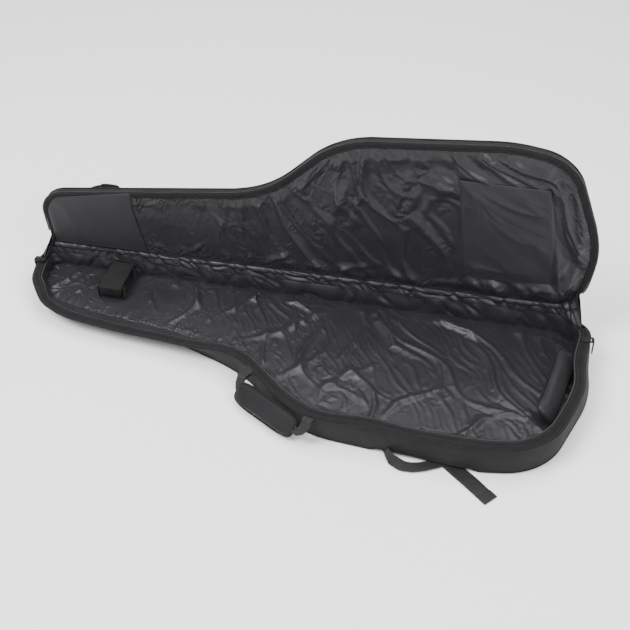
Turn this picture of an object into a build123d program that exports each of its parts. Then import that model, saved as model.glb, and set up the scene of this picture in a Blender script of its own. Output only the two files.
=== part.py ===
"""Padded gig bag for a bass guitar, lying on its back with the lid standing open.

Millimetres, +Z up. The origin is at the middle of the flat underside of the back panel, +X points to
the tail of the bag and +Y to the hinge side. Every piece of the lid is drawn closed, lying over the
rim, and is then turned up about the hinge line to where it stands at rest.
"""
from build123d import *
import math
import os

# Body of the bag
SHELL = 2.5              # outer fabric with its stiffener
GAP = 0.3                # clearance between neighbouring pieces
BACK_TOP = 23.5          # top of the back panel's lining
BACK_FOAM_TOP = 21.0
WALL_TOP = 62.0          # top of the padded wall, under the rim binding
WALL_FOAM = 10.0
WALL_LINING = 2.2
BINDING_TOP = 67.5
RIM_TAPE_TOP = 69.0
ZIP_END_Y = 155.0        # the zip stops short of the hinge corners

# Outline corners, seen from above: x, y and the radius that rounds the corner
CORNERS = [
    (-567.0, 200.0, 42.0),
    (-575.0, 32.0, 78.0),
    (-81.0, -33.0, 200.0),
    (64.0, -175.0, 210.0),
    (393.0, -202.5, 300.0),
    (520.0, -181.0, 125.0),
    (593.0, 20.0, 250.0),
    (582.0, 200.0, 75.0),
]
HEAD_EDGE = (CORNERS[0], CORNERS[1])
TAIL_EDGE = (CORNERS[7], CORNERS[6])
NEAR_SHOULDER = (CORNERS[2], CORNERS[3])

# Hinge of the lid
HINGE_Y = 192.0
HINGE_Z = 72.0
RIM_TILT = 0.7           # the bag is shallower at the head: degrees the rim plane drops towards it
RIM_PIVOT = (590.0, 0.0, 70.0)
LID_OPEN = 87.0          # degrees from closed to where the lid stands at rest
LID_TAPE_Z = 73.5
LID_TOP = 91.0

# Webbing
WEB_WIDTH = 30.0
WEB_THICK = 2.2
PAD_THICK = 11.0
PAD_WIDTH = 64.0
CHANNEL_TOP = 13.7       # the strap channels under the back panel
WEB_CHANNEL_TOP = 5.6
WEB_UPPER = 2.8          # underside of the upper of two layers of webbing

# Shoulder straps, folded under the back, seen from above: middle of each end
PADS = {
    "right": ((-205.0, 62.0), (190.0, 32.0)),
    "left": ((-205.0, 140.0), (190.0, 146.0)),
}
LOCKS = {"right": (240.0, -95.0), "left": (290.0, 128.0)}
TAIL_TURN = {"right": -40.5, "left": -40.0}     # heading of each free strap end, degrees
TAIL_LENGTH = {"right": 252.0, "left": 56.0}    # beyond the middle of the buckle
TAIL_INSIDE = {"right": 55.0, "left": 20.0}     # threaded back through the buckle
TAIL_REACH = {"right": 270.0, "left": 85.0}     # how far the channel goes
LOWER_TURN = 15.0                               # heading of the left strap's lower webbing
LOWER_REACH = 85.0
LOCK_LENGTH = 42.0
LOCK_WIDTH = 42.0

# Neck rest
REST_X = (-411.0, -357.0)
REST_Y = (92.0, 170.0)
SLOT_Y = (107.0, 155.0)
REST_TOP = 54.0

# Carry handle: the line it swings about, outside the shoulder
HANDLE_PIVOT = ((-64.0, -95.0), (102.0, -195.0))
HANDLE_Z = 54.0
HANDLE_DROOP = 55.0      # degrees below level at rest
GRIP_LENGTH = 140.0
GRIP_WIDTH = 44.0
GRIP_THICK = 16.0
GRIP_START = 14.0        # from the pivot line to the grip, room for the fingers

# Accessory pocket on the outside of the lid, in the closed position
POCKET = (150.0, 470.0, -120.0, 130.0)
POCKET_TOP = 106.0

os.makedirs("parts", exist_ok=True)


def put(name, *pieces):
    """Write one node."""
    solids = [solid for piece in pieces for solid in piece.solids()]
    export_step(solids[0] if len(solids) == 1 else Compound(children=solids), f"parts/{name}.step")


def block(x_low, x_high, y_low, y_high, z_low, z_high):
    """Box between two corners."""
    box = Box(x_high - x_low, y_high - y_low, z_high - z_low, align=(Align.MIN, Align.MIN, Align.MIN))
    return Pos(x_low, y_low, z_low) * box


def plan(inset=0.0):
    """Face of the bag seen from above, inset from its outer edge."""
    face = make_face(Polyline(*[(x, y) for x, y, radius in CORNERS], close=True))
    for x, y, radius in CORNERS:
        face = fillet(face.vertices().sort_by_distance(Vector(x, y, 0))[0], radius)
    return offset(face, amount=-inset) if inset else face


def slab(inset, low, high):
    """Solid of the plan between two heights."""
    return Pos(0, 0, low) * extrude(plan(inset), amount=high - low)


def ring(outer, inner, low, high):
    """Closed band that follows the outline between two insets."""
    return Pos(0, 0, low) * extrude(plan(outer) - plan(inner), amount=high - low)


def open_ring(outer, inner, low, high):
    """Band along the free sides only, up to the ends of the zip."""
    return ring(outer, inner, low, high) & block(-800, 800, -400, ZIP_END_Y, low, high)


def strip(points, width, low, high):
    """Flat band of webbing along a polyline, lying level."""
    path = FilletPolyline(*points, radius=width * 0.55) if len(points) > 2 else Line(*points)
    outline = trace(path, line_width=width)
    return Pos(0, 0, low) * extrude(outline, amount=high - low)


def on_edge(edge, y, piece, hand=1):
    """Place a piece drawn with X pointing out of the bag and Y along the edge, at height zero."""
    (x_a, y_a, _), (x_b, y_b, _) = edge
    share = (y - y_a) / (y_b - y_a)
    along = Vector(x_b - x_a, y_b - y_a, 0).normalized()
    outward = Vector(-along.Y * hand, along.X * hand, 0)
    origin = Vector(x_a + (x_b - x_a) * share, y, 0)
    return Plane(origin=origin, x_dir=outward, z_dir=(0, 0, 1)) * piece


def on_rim(*pieces):
    """Tilt pieces drawn over a level rim to the rim's real slope."""
    return [piece.rotate(Axis(RIM_PIVOT, (0, 1, 0)), -RIM_TILT) for piece in pieces]


def under_rim(piece):
    """Cut a wall piece off at the sloping rim."""
    (space,) = on_rim(block(-900, 900, -500, 500, -200, WALL_TOP))
    return piece & space


def stand(*pieces):
    """Turn closed lid pieces up to the rest position."""
    hinge = Axis((0, HINGE_Y, HINGE_Z), (1, 0, 0))
    return on_rim(*[piece.rotate(hinge, -LID_OPEN) for piece in pieces])


# ---- back panel -----------------------------------------------------------------------------------
def away(point, turn, distance):
    """Point at a distance along a heading in degrees."""
    angle = math.radians(turn)
    return (point[0] + distance * math.cos(angle), point[1] + distance * math.sin(angle))


def pool(centre, radius, top):
    """Round end of a strap channel."""
    return Pos(*centre, -1) * Cylinder(radius, top + 1, align=(Align.CENTER, Align.CENTER, Align.MIN))


def strap_channels(extra):
    """Space under the back panel for the shoulder straps, their buckles and the webbing."""
    deep = CHANNEL_TOP + extra
    shallow = WEB_CHANNEL_TOP + extra
    spaces = []
    for side, (start, end) in PADS.items():
        lock = LOCKS[side]
        reaches = (-TAIL_INSIDE[side] - 8, TAIL_REACH[side])
        tail_ends = [away(lock, TAIL_TURN[side], reach) for reach in reaches]
        spaces += [
            strip([start, end], PAD_WIDTH + 6 + 2 * extra, -1, deep),
            pool(start, PAD_WIDTH / 2 + 3 + extra, deep),
            pool(end, PAD_WIDTH / 2 + 3 + extra, deep),
            strip([end, lock], LOCK_WIDTH + 10 + 2 * extra, -1, deep),
            pool(lock, LOCK_WIDTH / 2 + 9 + extra, deep),
            strip(tail_ends, WEB_WIDTH + 8 + 2 * extra, -1, shallow),
        ]
    lower_end = away(LOCKS["left"], LOWER_TURN, LOWER_REACH)
    spaces.append(strip([LOCKS["left"], lower_end], WEB_WIDTH + 8 + 2 * extra, -1, shallow))
    spaces.append(block(222 - extra, 358 + extra, -230, -110 + extra, -1, shallow))
    spaces.append(block(-240 - extra, -205, 50, 150, -1, deep))
    return Part() + spaces


channels = strap_channels(0)
channel_roof = strap_channels(SHELL)
inside = slab(3, 0, CHANNEL_TOP + SHELL)
put("back_shell", (slab(0, 0, SHELL) + (channel_roof & inside)) - channels)
foam_room = strap_channels(SHELL + GAP)
put("back_foam", slab(13.5, SHELL + GAP, BACK_FOAM_TOP) - foam_room)
put("back_lining", slab(13.5, BACK_FOAM_TOP + GAP, BACK_TOP))

# ---- side wall ------------------------------------------------------------------------------------
wall_low = SHELL + GAP
web_exit = foam_room & block(200, 480, -230, -150, 0, 10)
wall_high = WALL_TOP + 5
put("wall_shell", under_rim(ring(0, SHELL, wall_low, wall_high)) - web_exit)
foam_ring = under_rim(ring(SHELL + GAP, SHELL + GAP + WALL_FOAM, wall_low, wall_high)) - web_exit
cuts = {
    "wall_foam_head": (-700, -520, -300, 300),
    "wall_foam_near": (-519.7, 470, -300, 100),
    "wall_foam_tail": (470.3, 700, -300, 300),
    "wall_foam_far": (-519.7, 470, 100.3, 300),
}
for name, (x_low, x_high, y_low, y_high) in cuts.items():
    put(name, foam_ring & block(x_low, x_high, y_low, y_high, 0, 100))
put("wall_lining", under_rim(ring(13.2, 13.2 + WALL_LINING, BACK_TOP + GAP, wall_high)))

# ---- rim: binding, zip tape, coil and stops ---------------------------------------------------------
put("rim_binding", *on_rim(ring(0, 13.0, WALL_TOP + GAP, BINDING_TOP)))
put("base_zip_tape", *on_rim(open_ring(3.0, 17.0, BINDING_TOP + GAP, RIM_TAPE_TOP)))
put("base_zip_coil", *on_rim(open_ring(17.3, 19.4, 67.0, 69.8)))
stop_band = block(-800, 800, ZIP_END_Y + GAP, ZIP_END_Y + 5.3, 0, 100)
put("zip_stops", *on_rim(ring(16.5, 20.5, 66.4, 70.4) & stop_band))


# ---- main zip sliders -------------------------------------------------------------------------------
SLIDER_Y = {"head": 146.0, "tail": 116.0}
PULL_X = -0.8            # the pull's pin, just inside the outer face
PULL_Z = 71.8


def slider():
    """Slider that wraps the coil, with two ears and a pin for its pull."""
    top = block(-22.0, -4.5, -7, 7, 70.1, 72.2)
    top = fillet(top.edges().filter_by(Axis.Z), 1.5)
    spine = block(-22.0, -19.9, -5, 5, 64.6, 72.2)
    bottom = block(-22.0, -14.5, -7, 7, 64.6, 66.7)
    ears = [block(-6.0, 1.0, y - 0.8, y + 0.8, 70.1, 73.0) for y in (-6.0, 6.0)]
    pin = Pos(PULL_X, 0, PULL_Z) * Rot(90, 0, 0) * Cylinder(1.0, 12.0)
    return top + spine + bottom + ears + pin


def pull():
    """Pull tab that hangs from the slider's pin down the outside of the wall."""
    eye = Pos(PULL_X, 0, PULL_Z) * Rot(90, 0, 0) * Cylinder(2.6, 8.6)
    tab = block(0.8, 2.6, -4.3, 4.3, 38.0, PULL_Z)
    tab = fillet(tab.edges().filter_by(Axis.X), 2.5)
    bore = Pos(PULL_X, 0, PULL_Z) * Rot(90, 0, 0) * Cylinder(1.4, 20.0)
    return (eye + tab) - bore


put("zip_slider_head", *on_rim(on_edge(HEAD_EDGE, SLIDER_Y["head"], slider(), -1)))
put("zip_pull_head", *on_rim(on_edge(HEAD_EDGE, SLIDER_Y["head"], pull(), -1)))
put("zip_slider_tail", *on_rim(on_edge(TAIL_EDGE, SLIDER_Y["tail"], slider(), 1)))
put("zip_pull_tail", *on_rim(on_edge(TAIL_EDGE, SLIDER_Y["tail"], pull(), 1)))

# ---- neck rest with its strap -----------------------------------------------------------------------
rest = block(*REST_X, *REST_Y, BACK_TOP + GAP, REST_TOP)
rest = fillet(rest.edges().filter_by(Axis.Z), 6)
slot = block(REST_X[0] - 1, REST_X[1] + 1, *SLOT_Y, 31.0, REST_TOP + 1)
put("neck_rest", rest - slot)
strap_x = (REST_X[0] + 2, REST_X[1] - 2)
put("neck_strap_anchor", block(*strap_x, REST_Y[1] + GAP, REST_Y[1] + 2.5, 30.0, REST_TOP - 0.5))
put("neck_strap_hook_patch", block(*strap_x, REST_Y[0] - 2.3, REST_Y[0] - GAP, 36.0, REST_TOP - 2.0))
flap = block(*strap_x, REST_Y[0] - 5.2, REST_Y[1] + 2.5, REST_TOP + GAP, REST_TOP + 3.0)
flap_end = block(*strap_x, REST_Y[0] - 5.2, REST_Y[0] - 2.7, 36.0, REST_TOP + 3.0)
put("neck_strap", flap + flap_end)

# ---- end guard at the tail --------------------------------------------------------------------------
with BuildPart() as guard:
    with BuildSketch(Plane.XZ.offset(-98.0)):
        Polygon((500, BACK_TOP + GAP), (556, BACK_TOP + GAP), (518, 60), (500, 60), align=None)
    extrude(amount=190.0)
guard_solid = guard.part & slab(17.0, 0, 80)
put("end_guard", guard_solid)

# ---- carry handle -----------------------------------------------------------------------------------
pivot_a = Vector(*HANDLE_PIVOT[0], HANDLE_Z)
pivot_b = Vector(*HANDLE_PIVOT[1], HANDLE_Z)
pivot_dir = (pivot_b - pivot_a).normalized()
pivot_mid = (pivot_a + pivot_b) * 0.5
pivot_half = (pivot_b - pivot_a).length / 2
# X along the pivot line, Y out of the bag and drooping
droop = math.radians(HANDLE_DROOP)
level_out = Vector(pivot_dir.Y, -pivot_dir.X, 0)
out_dir = level_out * math.cos(droop) + Vector(0, 0, -math.sin(droop))
handle_plane = Plane(origin=pivot_mid, x_dir=pivot_dir, z_dir=pivot_dir.cross(out_dir))


def handle_leg(side):
    """Webbing from the pivot to one end of the grip."""
    inner = side * (GRIP_LENGTH / 2 + GAP)
    outer = side * (pivot_half - 2)
    web = block(min(inner, outer), max(inner, outer), 4.0, GRIP_START + 30.0, -1.2, 1.2)
    root = side * (pivot_half - 24)
    neck = block(min(root, outer), max(root, outer), 0.0, 5.0, -1.2, 1.2)
    tube = Pos(side * (pivot_half - 13), 0, 0) * Rot(0, 90, 0) * Cylinder(2.4, 22.0)
    return web + neck + tube


grip = Pos(0, GRIP_START + GRIP_WIDTH / 2, 0) * Box(GRIP_LENGTH, GRIP_WIDTH, GRIP_THICK)
grip = fillet(grip.edges().filter_by(Axis.X), GRIP_THICK * 0.45)
put("handle_grip", handle_plane * grip)
put("handle_webbing", handle_plane * handle_leg(-1), handle_plane * handle_leg(1))


def handle_anchor(side):
    """Webbing tab sewn to the side wall, folded round the handle's end."""
    end = pivot_mid + pivot_dir * (side * (pivot_half - 13))
    tab = block(-10, 10, -34.0, -3.2, -1.2, 1.2)
    level_plane = Plane(origin=end, x_dir=pivot_dir, z_dir=pivot_dir.cross(level_out))
    outside = slab(-GAP, 0, 100)
    return (level_plane * tab) - outside


put("handle_anchors", handle_anchor(-1), handle_anchor(1))

# ---- shoulder straps, folded away under the back ----------------------------------------------------
PAD_LOW = 0.6
for side, (start, end) in PADS.items():
    lock = LOCKS[side]
    pad = strip([start, end], PAD_WIDTH, PAD_LOW, PAD_LOW + PAD_THICK)
    cap = pool(end, PAD_WIDTH / 2, PAD_LOW + PAD_THICK) - block(-900, 900, -900, 900, -2, PAD_LOW)
    put(f"shoulder_pad_{side}", pad + cap)

    lock_turn = math.degrees(math.atan2(lock[1] - end[1], lock[0] - end[0]))
    web_ends = [away(end, lock_turn, PAD_WIDTH / 2 + GAP), away(lock, lock_turn, -LOCK_LENGTH / 2 - GAP)]
    put(f"pad_webbing_{side}", strip(web_ends, WEB_WIDTH - 4, 6.0, 6.0 + WEB_THICK))

    frame = Box(LOCK_LENGTH, LOCK_WIDTH, 6.0)
    frame = fillet(frame.edges().filter_by(Axis.Z), 6)
    for bar_x in (-12.0, 0.0, 12.0):
        frame -= Pos(bar_x, 0, 0) * Box(7.0, WEB_WIDTH + 2, 10.0)
    put(f"ladder_lock_{side}", Pos(*lock, 8.6) * Rot(0, 0, lock_turn) * frame)

    turn = TAIL_TURN[side]
    tail_end = away(lock, turn, TAIL_LENGTH[side])
    tail = strip([away(lock, turn, -TAIL_INSIDE[side]), tail_end], WEB_WIDTH, GAP, GAP + WEB_THICK)
    hem = block(-16, 0, -WEB_WIDTH / 2, WEB_WIDTH / 2, GAP, GAP + 1.8 * WEB_THICK)
    put(f"strap_tail_{side}", tail + Pos(*tail_end, 0) * Rot(0, 0, turn) * hem)

# The slack lower webbing comes out from under the near side in a flat loop and goes back to its seam.
loop_points = [(238, -122), (234, -176), (248, -205), (281, -217), (316, -208), (346, -182)]
put("lower_webbing_right", strip(loop_points, 20.0, WEB_UPPER, WEB_UPPER + WEB_THICK))
left_ends = [away(LOCKS["left"], LOWER_TURN, reach) for reach in (LOCK_LENGTH / 2 + 6, LOWER_REACH - GAP)]
put("lower_webbing_left", strip(left_ends, WEB_WIDTH - 4, WEB_UPPER, WEB_UPPER + WEB_THICK))
yoke_x = PADS["right"][0][0] - 22
yoke_ends = [(yoke_x, PADS["right"][0][1]), (yoke_x, PADS["left"][0][1])]
put("strap_yoke", strip(yoke_ends, 14.0, 1.0, 9.0))

# ---- lid: drawn closed, then stood up ---------------------------------------------------------------
put("lid_lining", *stand(slab(24.0, LID_TAPE_Z + 1.9, 78.0)))
put("lid_foam", *stand(slab(25.0, 78.3, 88.2)))
put("lid_shell", *stand(slab(22.3, 88.5, LID_TOP)))
put("lid_binding", *stand(ring(20.9, 23.7, LID_TAPE_Z + 1.9, 88.2)))
put("lid_zip_tape", *stand(open_ring(20.9, 36.0, LID_TAPE_Z, LID_TAPE_Z + 1.6)))
put("lid_zip_coil", *stand(open_ring(18.5, 20.6, 73.3, 76.0)))

patch_low, patch_high = LID_TAPE_Z - 0.1, LID_TAPE_Z + 1.6
head_face = Polygon((-700, 30), (-367, 30), (-340, 186), (-700, 186), align=None)
head_patch = Pos(0, 0, patch_low) * extrude(head_face, amount=patch_high - patch_low)
put("head_patch", *stand(head_patch & slab(36.3, 0, 200)))
bridge_face = Polygon((294, -85), (468, -79), (509, 140), (332, 134), align=None)
put("bridge_patch", *stand(Pos(0, 0, patch_low) * extrude(bridge_face, amount=patch_high - patch_low)))

# ---- accessory pocket on the outside of the lid -----------------------------------------------------
x_low, x_high, y_low, y_high = POCKET
pocket_face = fillet((Pos((x_low + x_high) / 2, (y_low + y_high) / 2)
                      * Rectangle(x_high - x_low, y_high - y_low)).vertices(), 30)
pocket_low = LID_TOP + GAP
gusset = Pos(0, 0, pocket_low) * extrude(pocket_face - offset(pocket_face, amount=-4), amount=11.5)
put("pocket_gusset", *stand(gusset))
panel = Pos(0, 0, pocket_low + 11.8) * extrude(pocket_face, amount=POCKET_TOP - pocket_low - 11.8)
put("pocket_panel", *stand(panel))
zip_x = x_low + 32
zip_y = (y_low + 16, y_high - 16)
tape_low, tape_high = POCKET_TOP + GAP, POCKET_TOP + 1.3
tapes = [block(zip_x + a, zip_x + b, *zip_y, tape_low, tape_high) for a, b in ((-12, -1.9), (1.9, 12))]
put("pocket_zip_tape", *stand(*tapes))
coil = block(zip_x - 1.6, zip_x + 1.6, *zip_y, POCKET_TOP + GAP, POCKET_TOP + 2.0)
put("pocket_zip_coil", *stand(coil))

slider_y = zip_y[0] + 16
slider_low = POCKET_TOP + 2.4
pocket_slider = block(zip_x - 5, zip_x + 5, slider_y - 7, slider_y + 7, slider_low, slider_low + 2.0)
pocket_slider = fillet(pocket_slider.edges().filter_by(Axis.Z), 1.5)
pin_z = slider_low + 4.2
lug = block(zip_x - 0.7, zip_x + 0.7, slider_y - 2, slider_y + 2, slider_low, pin_z + 1.4)
lugs = [Pos(-4.2, 0, 0) * lug, Pos(4.2, 0, 0) * lug]
pin = Pos(zip_x, slider_y, pin_z) * Rot(0, 90, 0) * Cylinder(1.0, 8.4)
put("pocket_slider", *stand(pocket_slider + lugs + pin))
tab = block(zip_x - 3.0, zip_x + 3.0, slider_y, slider_y + 30, pin_z - 0.9, pin_z + 0.9)
tab = fillet(tab.edges().filter_by(Axis.Z), 2.0)
eye = Pos(zip_x, slider_y, pin_z) * Rot(0, 90, 0) * Cylinder(2.0, 6.0)
bore = Pos(zip_x, slider_y, pin_z) * Rot(0, 90, 0) * Cylinder(1.3, 20.0)
put("pocket_pull", *stand((tab + eye) - bore))

# ---- grab handle on the neck of the lid -------------------------------------------------------------
GRAB_X = (-453.0, -373.0)
GRAB_Y = 62.0
GRAB_RISE = 22.0
GRAB_WIDTH = 38.0
grab_low = LID_TOP + GAP
anchors = [block(x - 9, x + 9, GRAB_Y - 19, GRAB_Y + 19, grab_low, grab_low + 2.2) for x in GRAB_X]
put("grab_anchors", *stand(*anchors))
with BuildPart() as arch:
    with BuildSketch(Plane.XZ.offset(-GRAB_Y)):
        with BuildLine():
            arch_z = grab_low + 3.0
            middle = (GRAB_X[0] + GRAB_X[1]) / 2
            top = (middle, arch_z + GRAB_RISE + 3)
            outer_arc = ThreePointArc((GRAB_X[0] - 8, arch_z), top, (GRAB_X[1] + 8, arch_z))
            under = (middle, arch_z + GRAB_RISE)
            inner_arc = ThreePointArc((GRAB_X[1] + 1, arch_z), under, (GRAB_X[0] - 1, arch_z))
            Line(outer_arc @ 1, inner_arc @ 0)
            Line(inner_arc @ 1, outer_arc @ 0)
        make_face()
    extrude(amount=GRAB_WIDTH / 2, both=True)
put("grab_handle", *stand(arch.part))

# ---- fabric hinge between wall and lid --------------------------------------------------------------
hinge_strip = block(-540, 500, HINGE_Y + 5.4, HINGE_Y + 7.4, BINDING_TOP + GAP, 76.0)
put("hinge_strip", *on_rim(hinge_strip))
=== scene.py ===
import math

import bpy
import numpy as np
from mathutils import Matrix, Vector


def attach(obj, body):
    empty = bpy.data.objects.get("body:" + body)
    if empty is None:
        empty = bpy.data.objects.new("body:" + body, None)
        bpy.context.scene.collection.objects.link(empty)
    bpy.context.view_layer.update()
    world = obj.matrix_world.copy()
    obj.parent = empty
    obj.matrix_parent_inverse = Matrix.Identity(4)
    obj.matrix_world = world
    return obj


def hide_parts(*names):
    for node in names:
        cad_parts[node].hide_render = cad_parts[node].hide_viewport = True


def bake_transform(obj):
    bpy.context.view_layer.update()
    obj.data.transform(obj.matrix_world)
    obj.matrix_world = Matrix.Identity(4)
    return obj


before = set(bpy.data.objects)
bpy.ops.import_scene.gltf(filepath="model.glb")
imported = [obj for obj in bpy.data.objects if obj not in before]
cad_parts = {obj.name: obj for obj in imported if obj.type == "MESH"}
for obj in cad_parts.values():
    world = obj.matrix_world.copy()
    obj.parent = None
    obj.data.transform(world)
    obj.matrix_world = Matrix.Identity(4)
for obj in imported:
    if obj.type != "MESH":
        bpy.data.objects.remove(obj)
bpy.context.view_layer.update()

MM = 0.001

# Outline of the bag seen from above, corner by corner: x, y, radius
CORNERS = [
    (-567.0, 200.0, 42.0),
    (-575.0, 32.0, 78.0),
    (-81.0, -33.0, 200.0),
    (64.0, -175.0, 210.0),
    (393.0, -202.5, 300.0),
    (520.0, -181.0, 125.0),
    (593.0, 20.0, 250.0),
    (582.0, 200.0, 75.0),
]
LOOP_POINTS = 880
ZIP_END_Y = 155.0
HINGE_Y, HINGE_Z = 192.0, 72.0
RIM_TILT = math.radians(0.7)
TAIL_X, TAIL_Z = 590.0, 70.0           # the rim falls towards the head from here
LID_OPEN = math.radians(87.0)
WALL_TOP = 62.0
BACK_TOP = 23.5
LID_CORNER_IN = 15.0                   # how far the hinge draws in the lid's tail corner


# ---- shapes ---------------------------------------------------------------------------------------
def rounded(corners):
    """Dense closed line through the corners, each one rounded to its radius."""
    points = []
    for i, (x, y, radius) in enumerate(corners):
        here = np.array([x, y])
        before = np.array(corners[i - 1][:2]) - here
        after = np.array(corners[(i + 1) % len(corners)][:2]) - here
        before /= np.linalg.norm(before)
        after /= np.linalg.norm(after)
        half = math.acos(before @ after) / 2
        inward = (before + after) / np.linalg.norm(before + after)
        centre = here + inward * radius / math.sin(half)
        first = here + before * radius / math.tan(half) - centre
        last = here + after * radius / math.tan(half) - centre
        for share in np.linspace(0, 1, 25):
            arm = first * (1 - share) + last * share
            points.append(centre + arm / np.linalg.norm(arm) * radius)
    return np.array(points)


def even(points, count, closed=False):
    """The same line with evenly spaced points."""
    line = np.vstack([points, points[:1]]) if closed else np.asarray(points, float)
    length = np.concatenate([[0], np.cumsum(np.linalg.norm(np.diff(line, axis=0), axis=1))])
    at = np.linspace(0, length[-1], count, endpoint=not closed)
    return np.stack([np.interp(at, length, line[:, k]) for k in range(line.shape[1])], 1)


dense = even(rounded(CORNERS), 8 * LOOP_POINTS, closed=True)
start = np.argmin(abs(dense[:, 0]) + 1000 * (dense[:, 1] < 100))
LOOP = np.roll(dense, -start, axis=0)[::8]
step = np.roll(LOOP, -1, axis=0) - np.roll(LOOP, 1, axis=0)
step /= np.linalg.norm(step, axis=1)[:, None]
OUT = np.stack([step[:, 1], -step[:, 0]], 1)
ARC = np.arange(LOOP_POINTS) * np.linalg.norm(LOOP[1] - LOOP[0])
FREE = np.where(LOOP[:, 1] < ZIP_END_Y)[0]


def along_near(low, high, fade=90.0):
    """1 on the near side between two values of x, falling smoothly to 0."""
    x = LOOP[:, 0]
    weight = np.clip((x - low) / fade + 0.5, 0, 1) * np.clip((high - x) / fade + 0.5, 0, 1)
    weight = weight * (LOOP[:, 1] < 120)
    return np.convolve(np.tile(weight, 3), np.ones(31) / 31, "same")[LOOP_POINTS:2 * LOOP_POINTS]


NEAR_NECK = along_near(-520.0, -135.0)


def inset(distance):
    """The outline moved inwards; distance may differ along it."""
    return LOOP - OUT * (np.asarray(distance) * np.ones(LOOP_POINTS))[:, None]


def on_rim(points):
    """Tilt points drawn over a level rim to the rim's slope."""
    p = np.array(points, float)
    x, z = p[..., 0] - TAIL_X, p[..., 2] - TAIL_Z
    p[..., 0] = TAIL_X + x * math.cos(RIM_TILT) - z * math.sin(RIM_TILT)
    p[..., 2] = TAIL_Z + x * math.sin(RIM_TILT) + z * math.cos(RIM_TILT)
    return p


def stand(points):
    """Turn points of the closed lid up to where the lid stands, its tail corner drawn in by the hinge."""
    p = np.array(points, float)
    from_corner = (p[..., 0] - 585.0) ** 2 + (p[..., 1] - 205.0) ** 2
    drawn = LID_CORNER_IN * np.exp(-from_corner / (2 * 48.0 ** 2))
    p[..., 0] -= drawn
    p[..., 1] -= 0.4 * drawn
    y, z = p[..., 1] - HINGE_Y, p[..., 2] - HINGE_Z
    p[..., 1] = HINGE_Y + y * math.cos(LID_OPEN) + z * math.sin(LID_OPEN)
    p[..., 2] = HINGE_Z - y * math.sin(LID_OPEN) + z * math.cos(LID_OPEN)
    return on_rim(p)


def ripples(x, y, wave, angle, spread, seed, count=9):
    """Smooth ripples: waves whose crests run at about the given angle, in degrees."""
    random = np.random.default_rng(seed)
    total = np.zeros(np.broadcast(x, y).shape)
    for _ in range(count):
        turn = math.radians(angle + 90 + random.normal(0, spread))
        size = 2 * math.pi / (wave * random.uniform(0.65, 1.6))
        total += np.sin((x * math.cos(turn) + y * math.sin(turn)) * size + random.uniform(0, 6.28))
    return total / math.sqrt(count)


def facets(x, y, wave, angle, seed, count=6):
    """Creased cloth, 0 to 1: slopes that meet in sharp folds, most of them at one angle, in degrees."""
    random = np.random.default_rng(seed)
    bent_x = x + ripples(x, y, 2.6 * wave, angle + 50, 40, seed + 1, 6) * wave * 0.30
    bent_y = y + ripples(x, y, 2.6 * wave, angle - 30, 40, seed + 2, 6) * wave * 0.30
    total = np.zeros(np.broadcast(x, y).shape)
    for number in range(count):
        turn = math.radians(angle + 90 + random.normal(0, 17))
        size = 1 / (wave * random.uniform(0.7, 1.7))
        phase = (bent_x * math.cos(turn) + bent_y * math.sin(turn)) * size + random.uniform(0, 1)
        strong = 0.55 + 0.5 * ripples(x, y, 3.0 * wave, angle, 60, seed + 5 + number, 5)
        strong = np.clip(strong, 0.05, 1.2)
        total = np.maximum(total, (1 - abs(np.sin(math.pi * phase))) ** 2.0 * strong)
    return total


def crease(x, y, line, width, height):
    """A fold along a line of points, tapering at its ends."""
    line = np.array(line, float)
    best = np.full(np.broadcast(x, y).shape, 1e9)
    share = np.zeros(best.shape)
    for i, (a, b) in enumerate(zip(line[:-1], line[1:])):
        run = b - a
        t = np.clip(((x - a[0]) * run[0] + (y - a[1]) * run[1]) / (run @ run), 0, 1)
        gap = np.hypot(x - a[0] - t * run[0], y - a[1] - t * run[1])
        share = np.where(gap < best, (i + t) / (len(line) - 1), share)
        best = np.minimum(best, gap)
    return height * np.exp(-(best / width) ** 2) * np.sin(np.pi * np.clip(share, 0.03, 0.97)) ** 0.6


# ---- meshes ---------------------------------------------------------------------------------------
def grid(name, points, look, around=False, thick=0.0, smooth=True):
    """Mesh over a grid of points, rows by columns. UVs are real lengths in metres."""
    rows, columns = points.shape[:2]
    index = np.arange(rows * columns).reshape(rows, columns)
    if around:
        index = np.vstack([index, index[:1]])
    quads = np.stack([index[:-1, :-1], index[1:, :-1], index[1:, 1:], index[:-1, 1:]], -1).reshape(-1, 4)
    along = np.concatenate([[0], np.cumsum(np.linalg.norm(np.diff(points, axis=0), axis=2).mean(1))])
    across = np.concatenate([[0], np.cumsum(np.linalg.norm(np.diff(points, axis=1), axis=2).mean(0))])
    if around:
        along = np.append(along, along[-1] + along[1])
    uv = np.stack(np.meshgrid(along, across, indexing="ij"), -1) * MM
    corners = [(0, 0), (1, 0), (1, 1), (0, 1)]
    high, wide = len(index) - 1, columns - 1
    texture = np.stack([uv[a:a + high, b:b + wide] for a, b in corners], 2).reshape(-1, 2)
    return mesh(name, points.reshape(-1, 3), quads, look, texture, thick, smooth)


def mesh(name, points, faces, look, texture=None, thick=0.0, smooth=True):
    """Object from points in millimetres. A look is given by its name."""
    data = bpy.data.meshes.new(name)
    if isinstance(faces, np.ndarray):
        faces = faces.tolist()
    data.from_pydata((np.asarray(points) * MM).tolist(), [], faces)
    if texture is not None:
        layer = data.uv_layers.new(name="UVMap")
        layer.data.foreach_set("uv", np.asarray(texture, np.float32).ravel())
    data.update()
    data.validate()
    obj = bpy.data.objects.new(name, data)
    bpy.context.scene.collection.objects.link(obj)
    data.materials.append(LOOKS[look])
    if smooth:
        data.polygons.foreach_set("use_smooth", [True] * len(data.polygons))
    if thick:
        solid = obj.modifiers.new("Thickness", "SOLIDIFY")
        solid.thickness = thick * MM
        solid.offset = 0
    return obj


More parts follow.
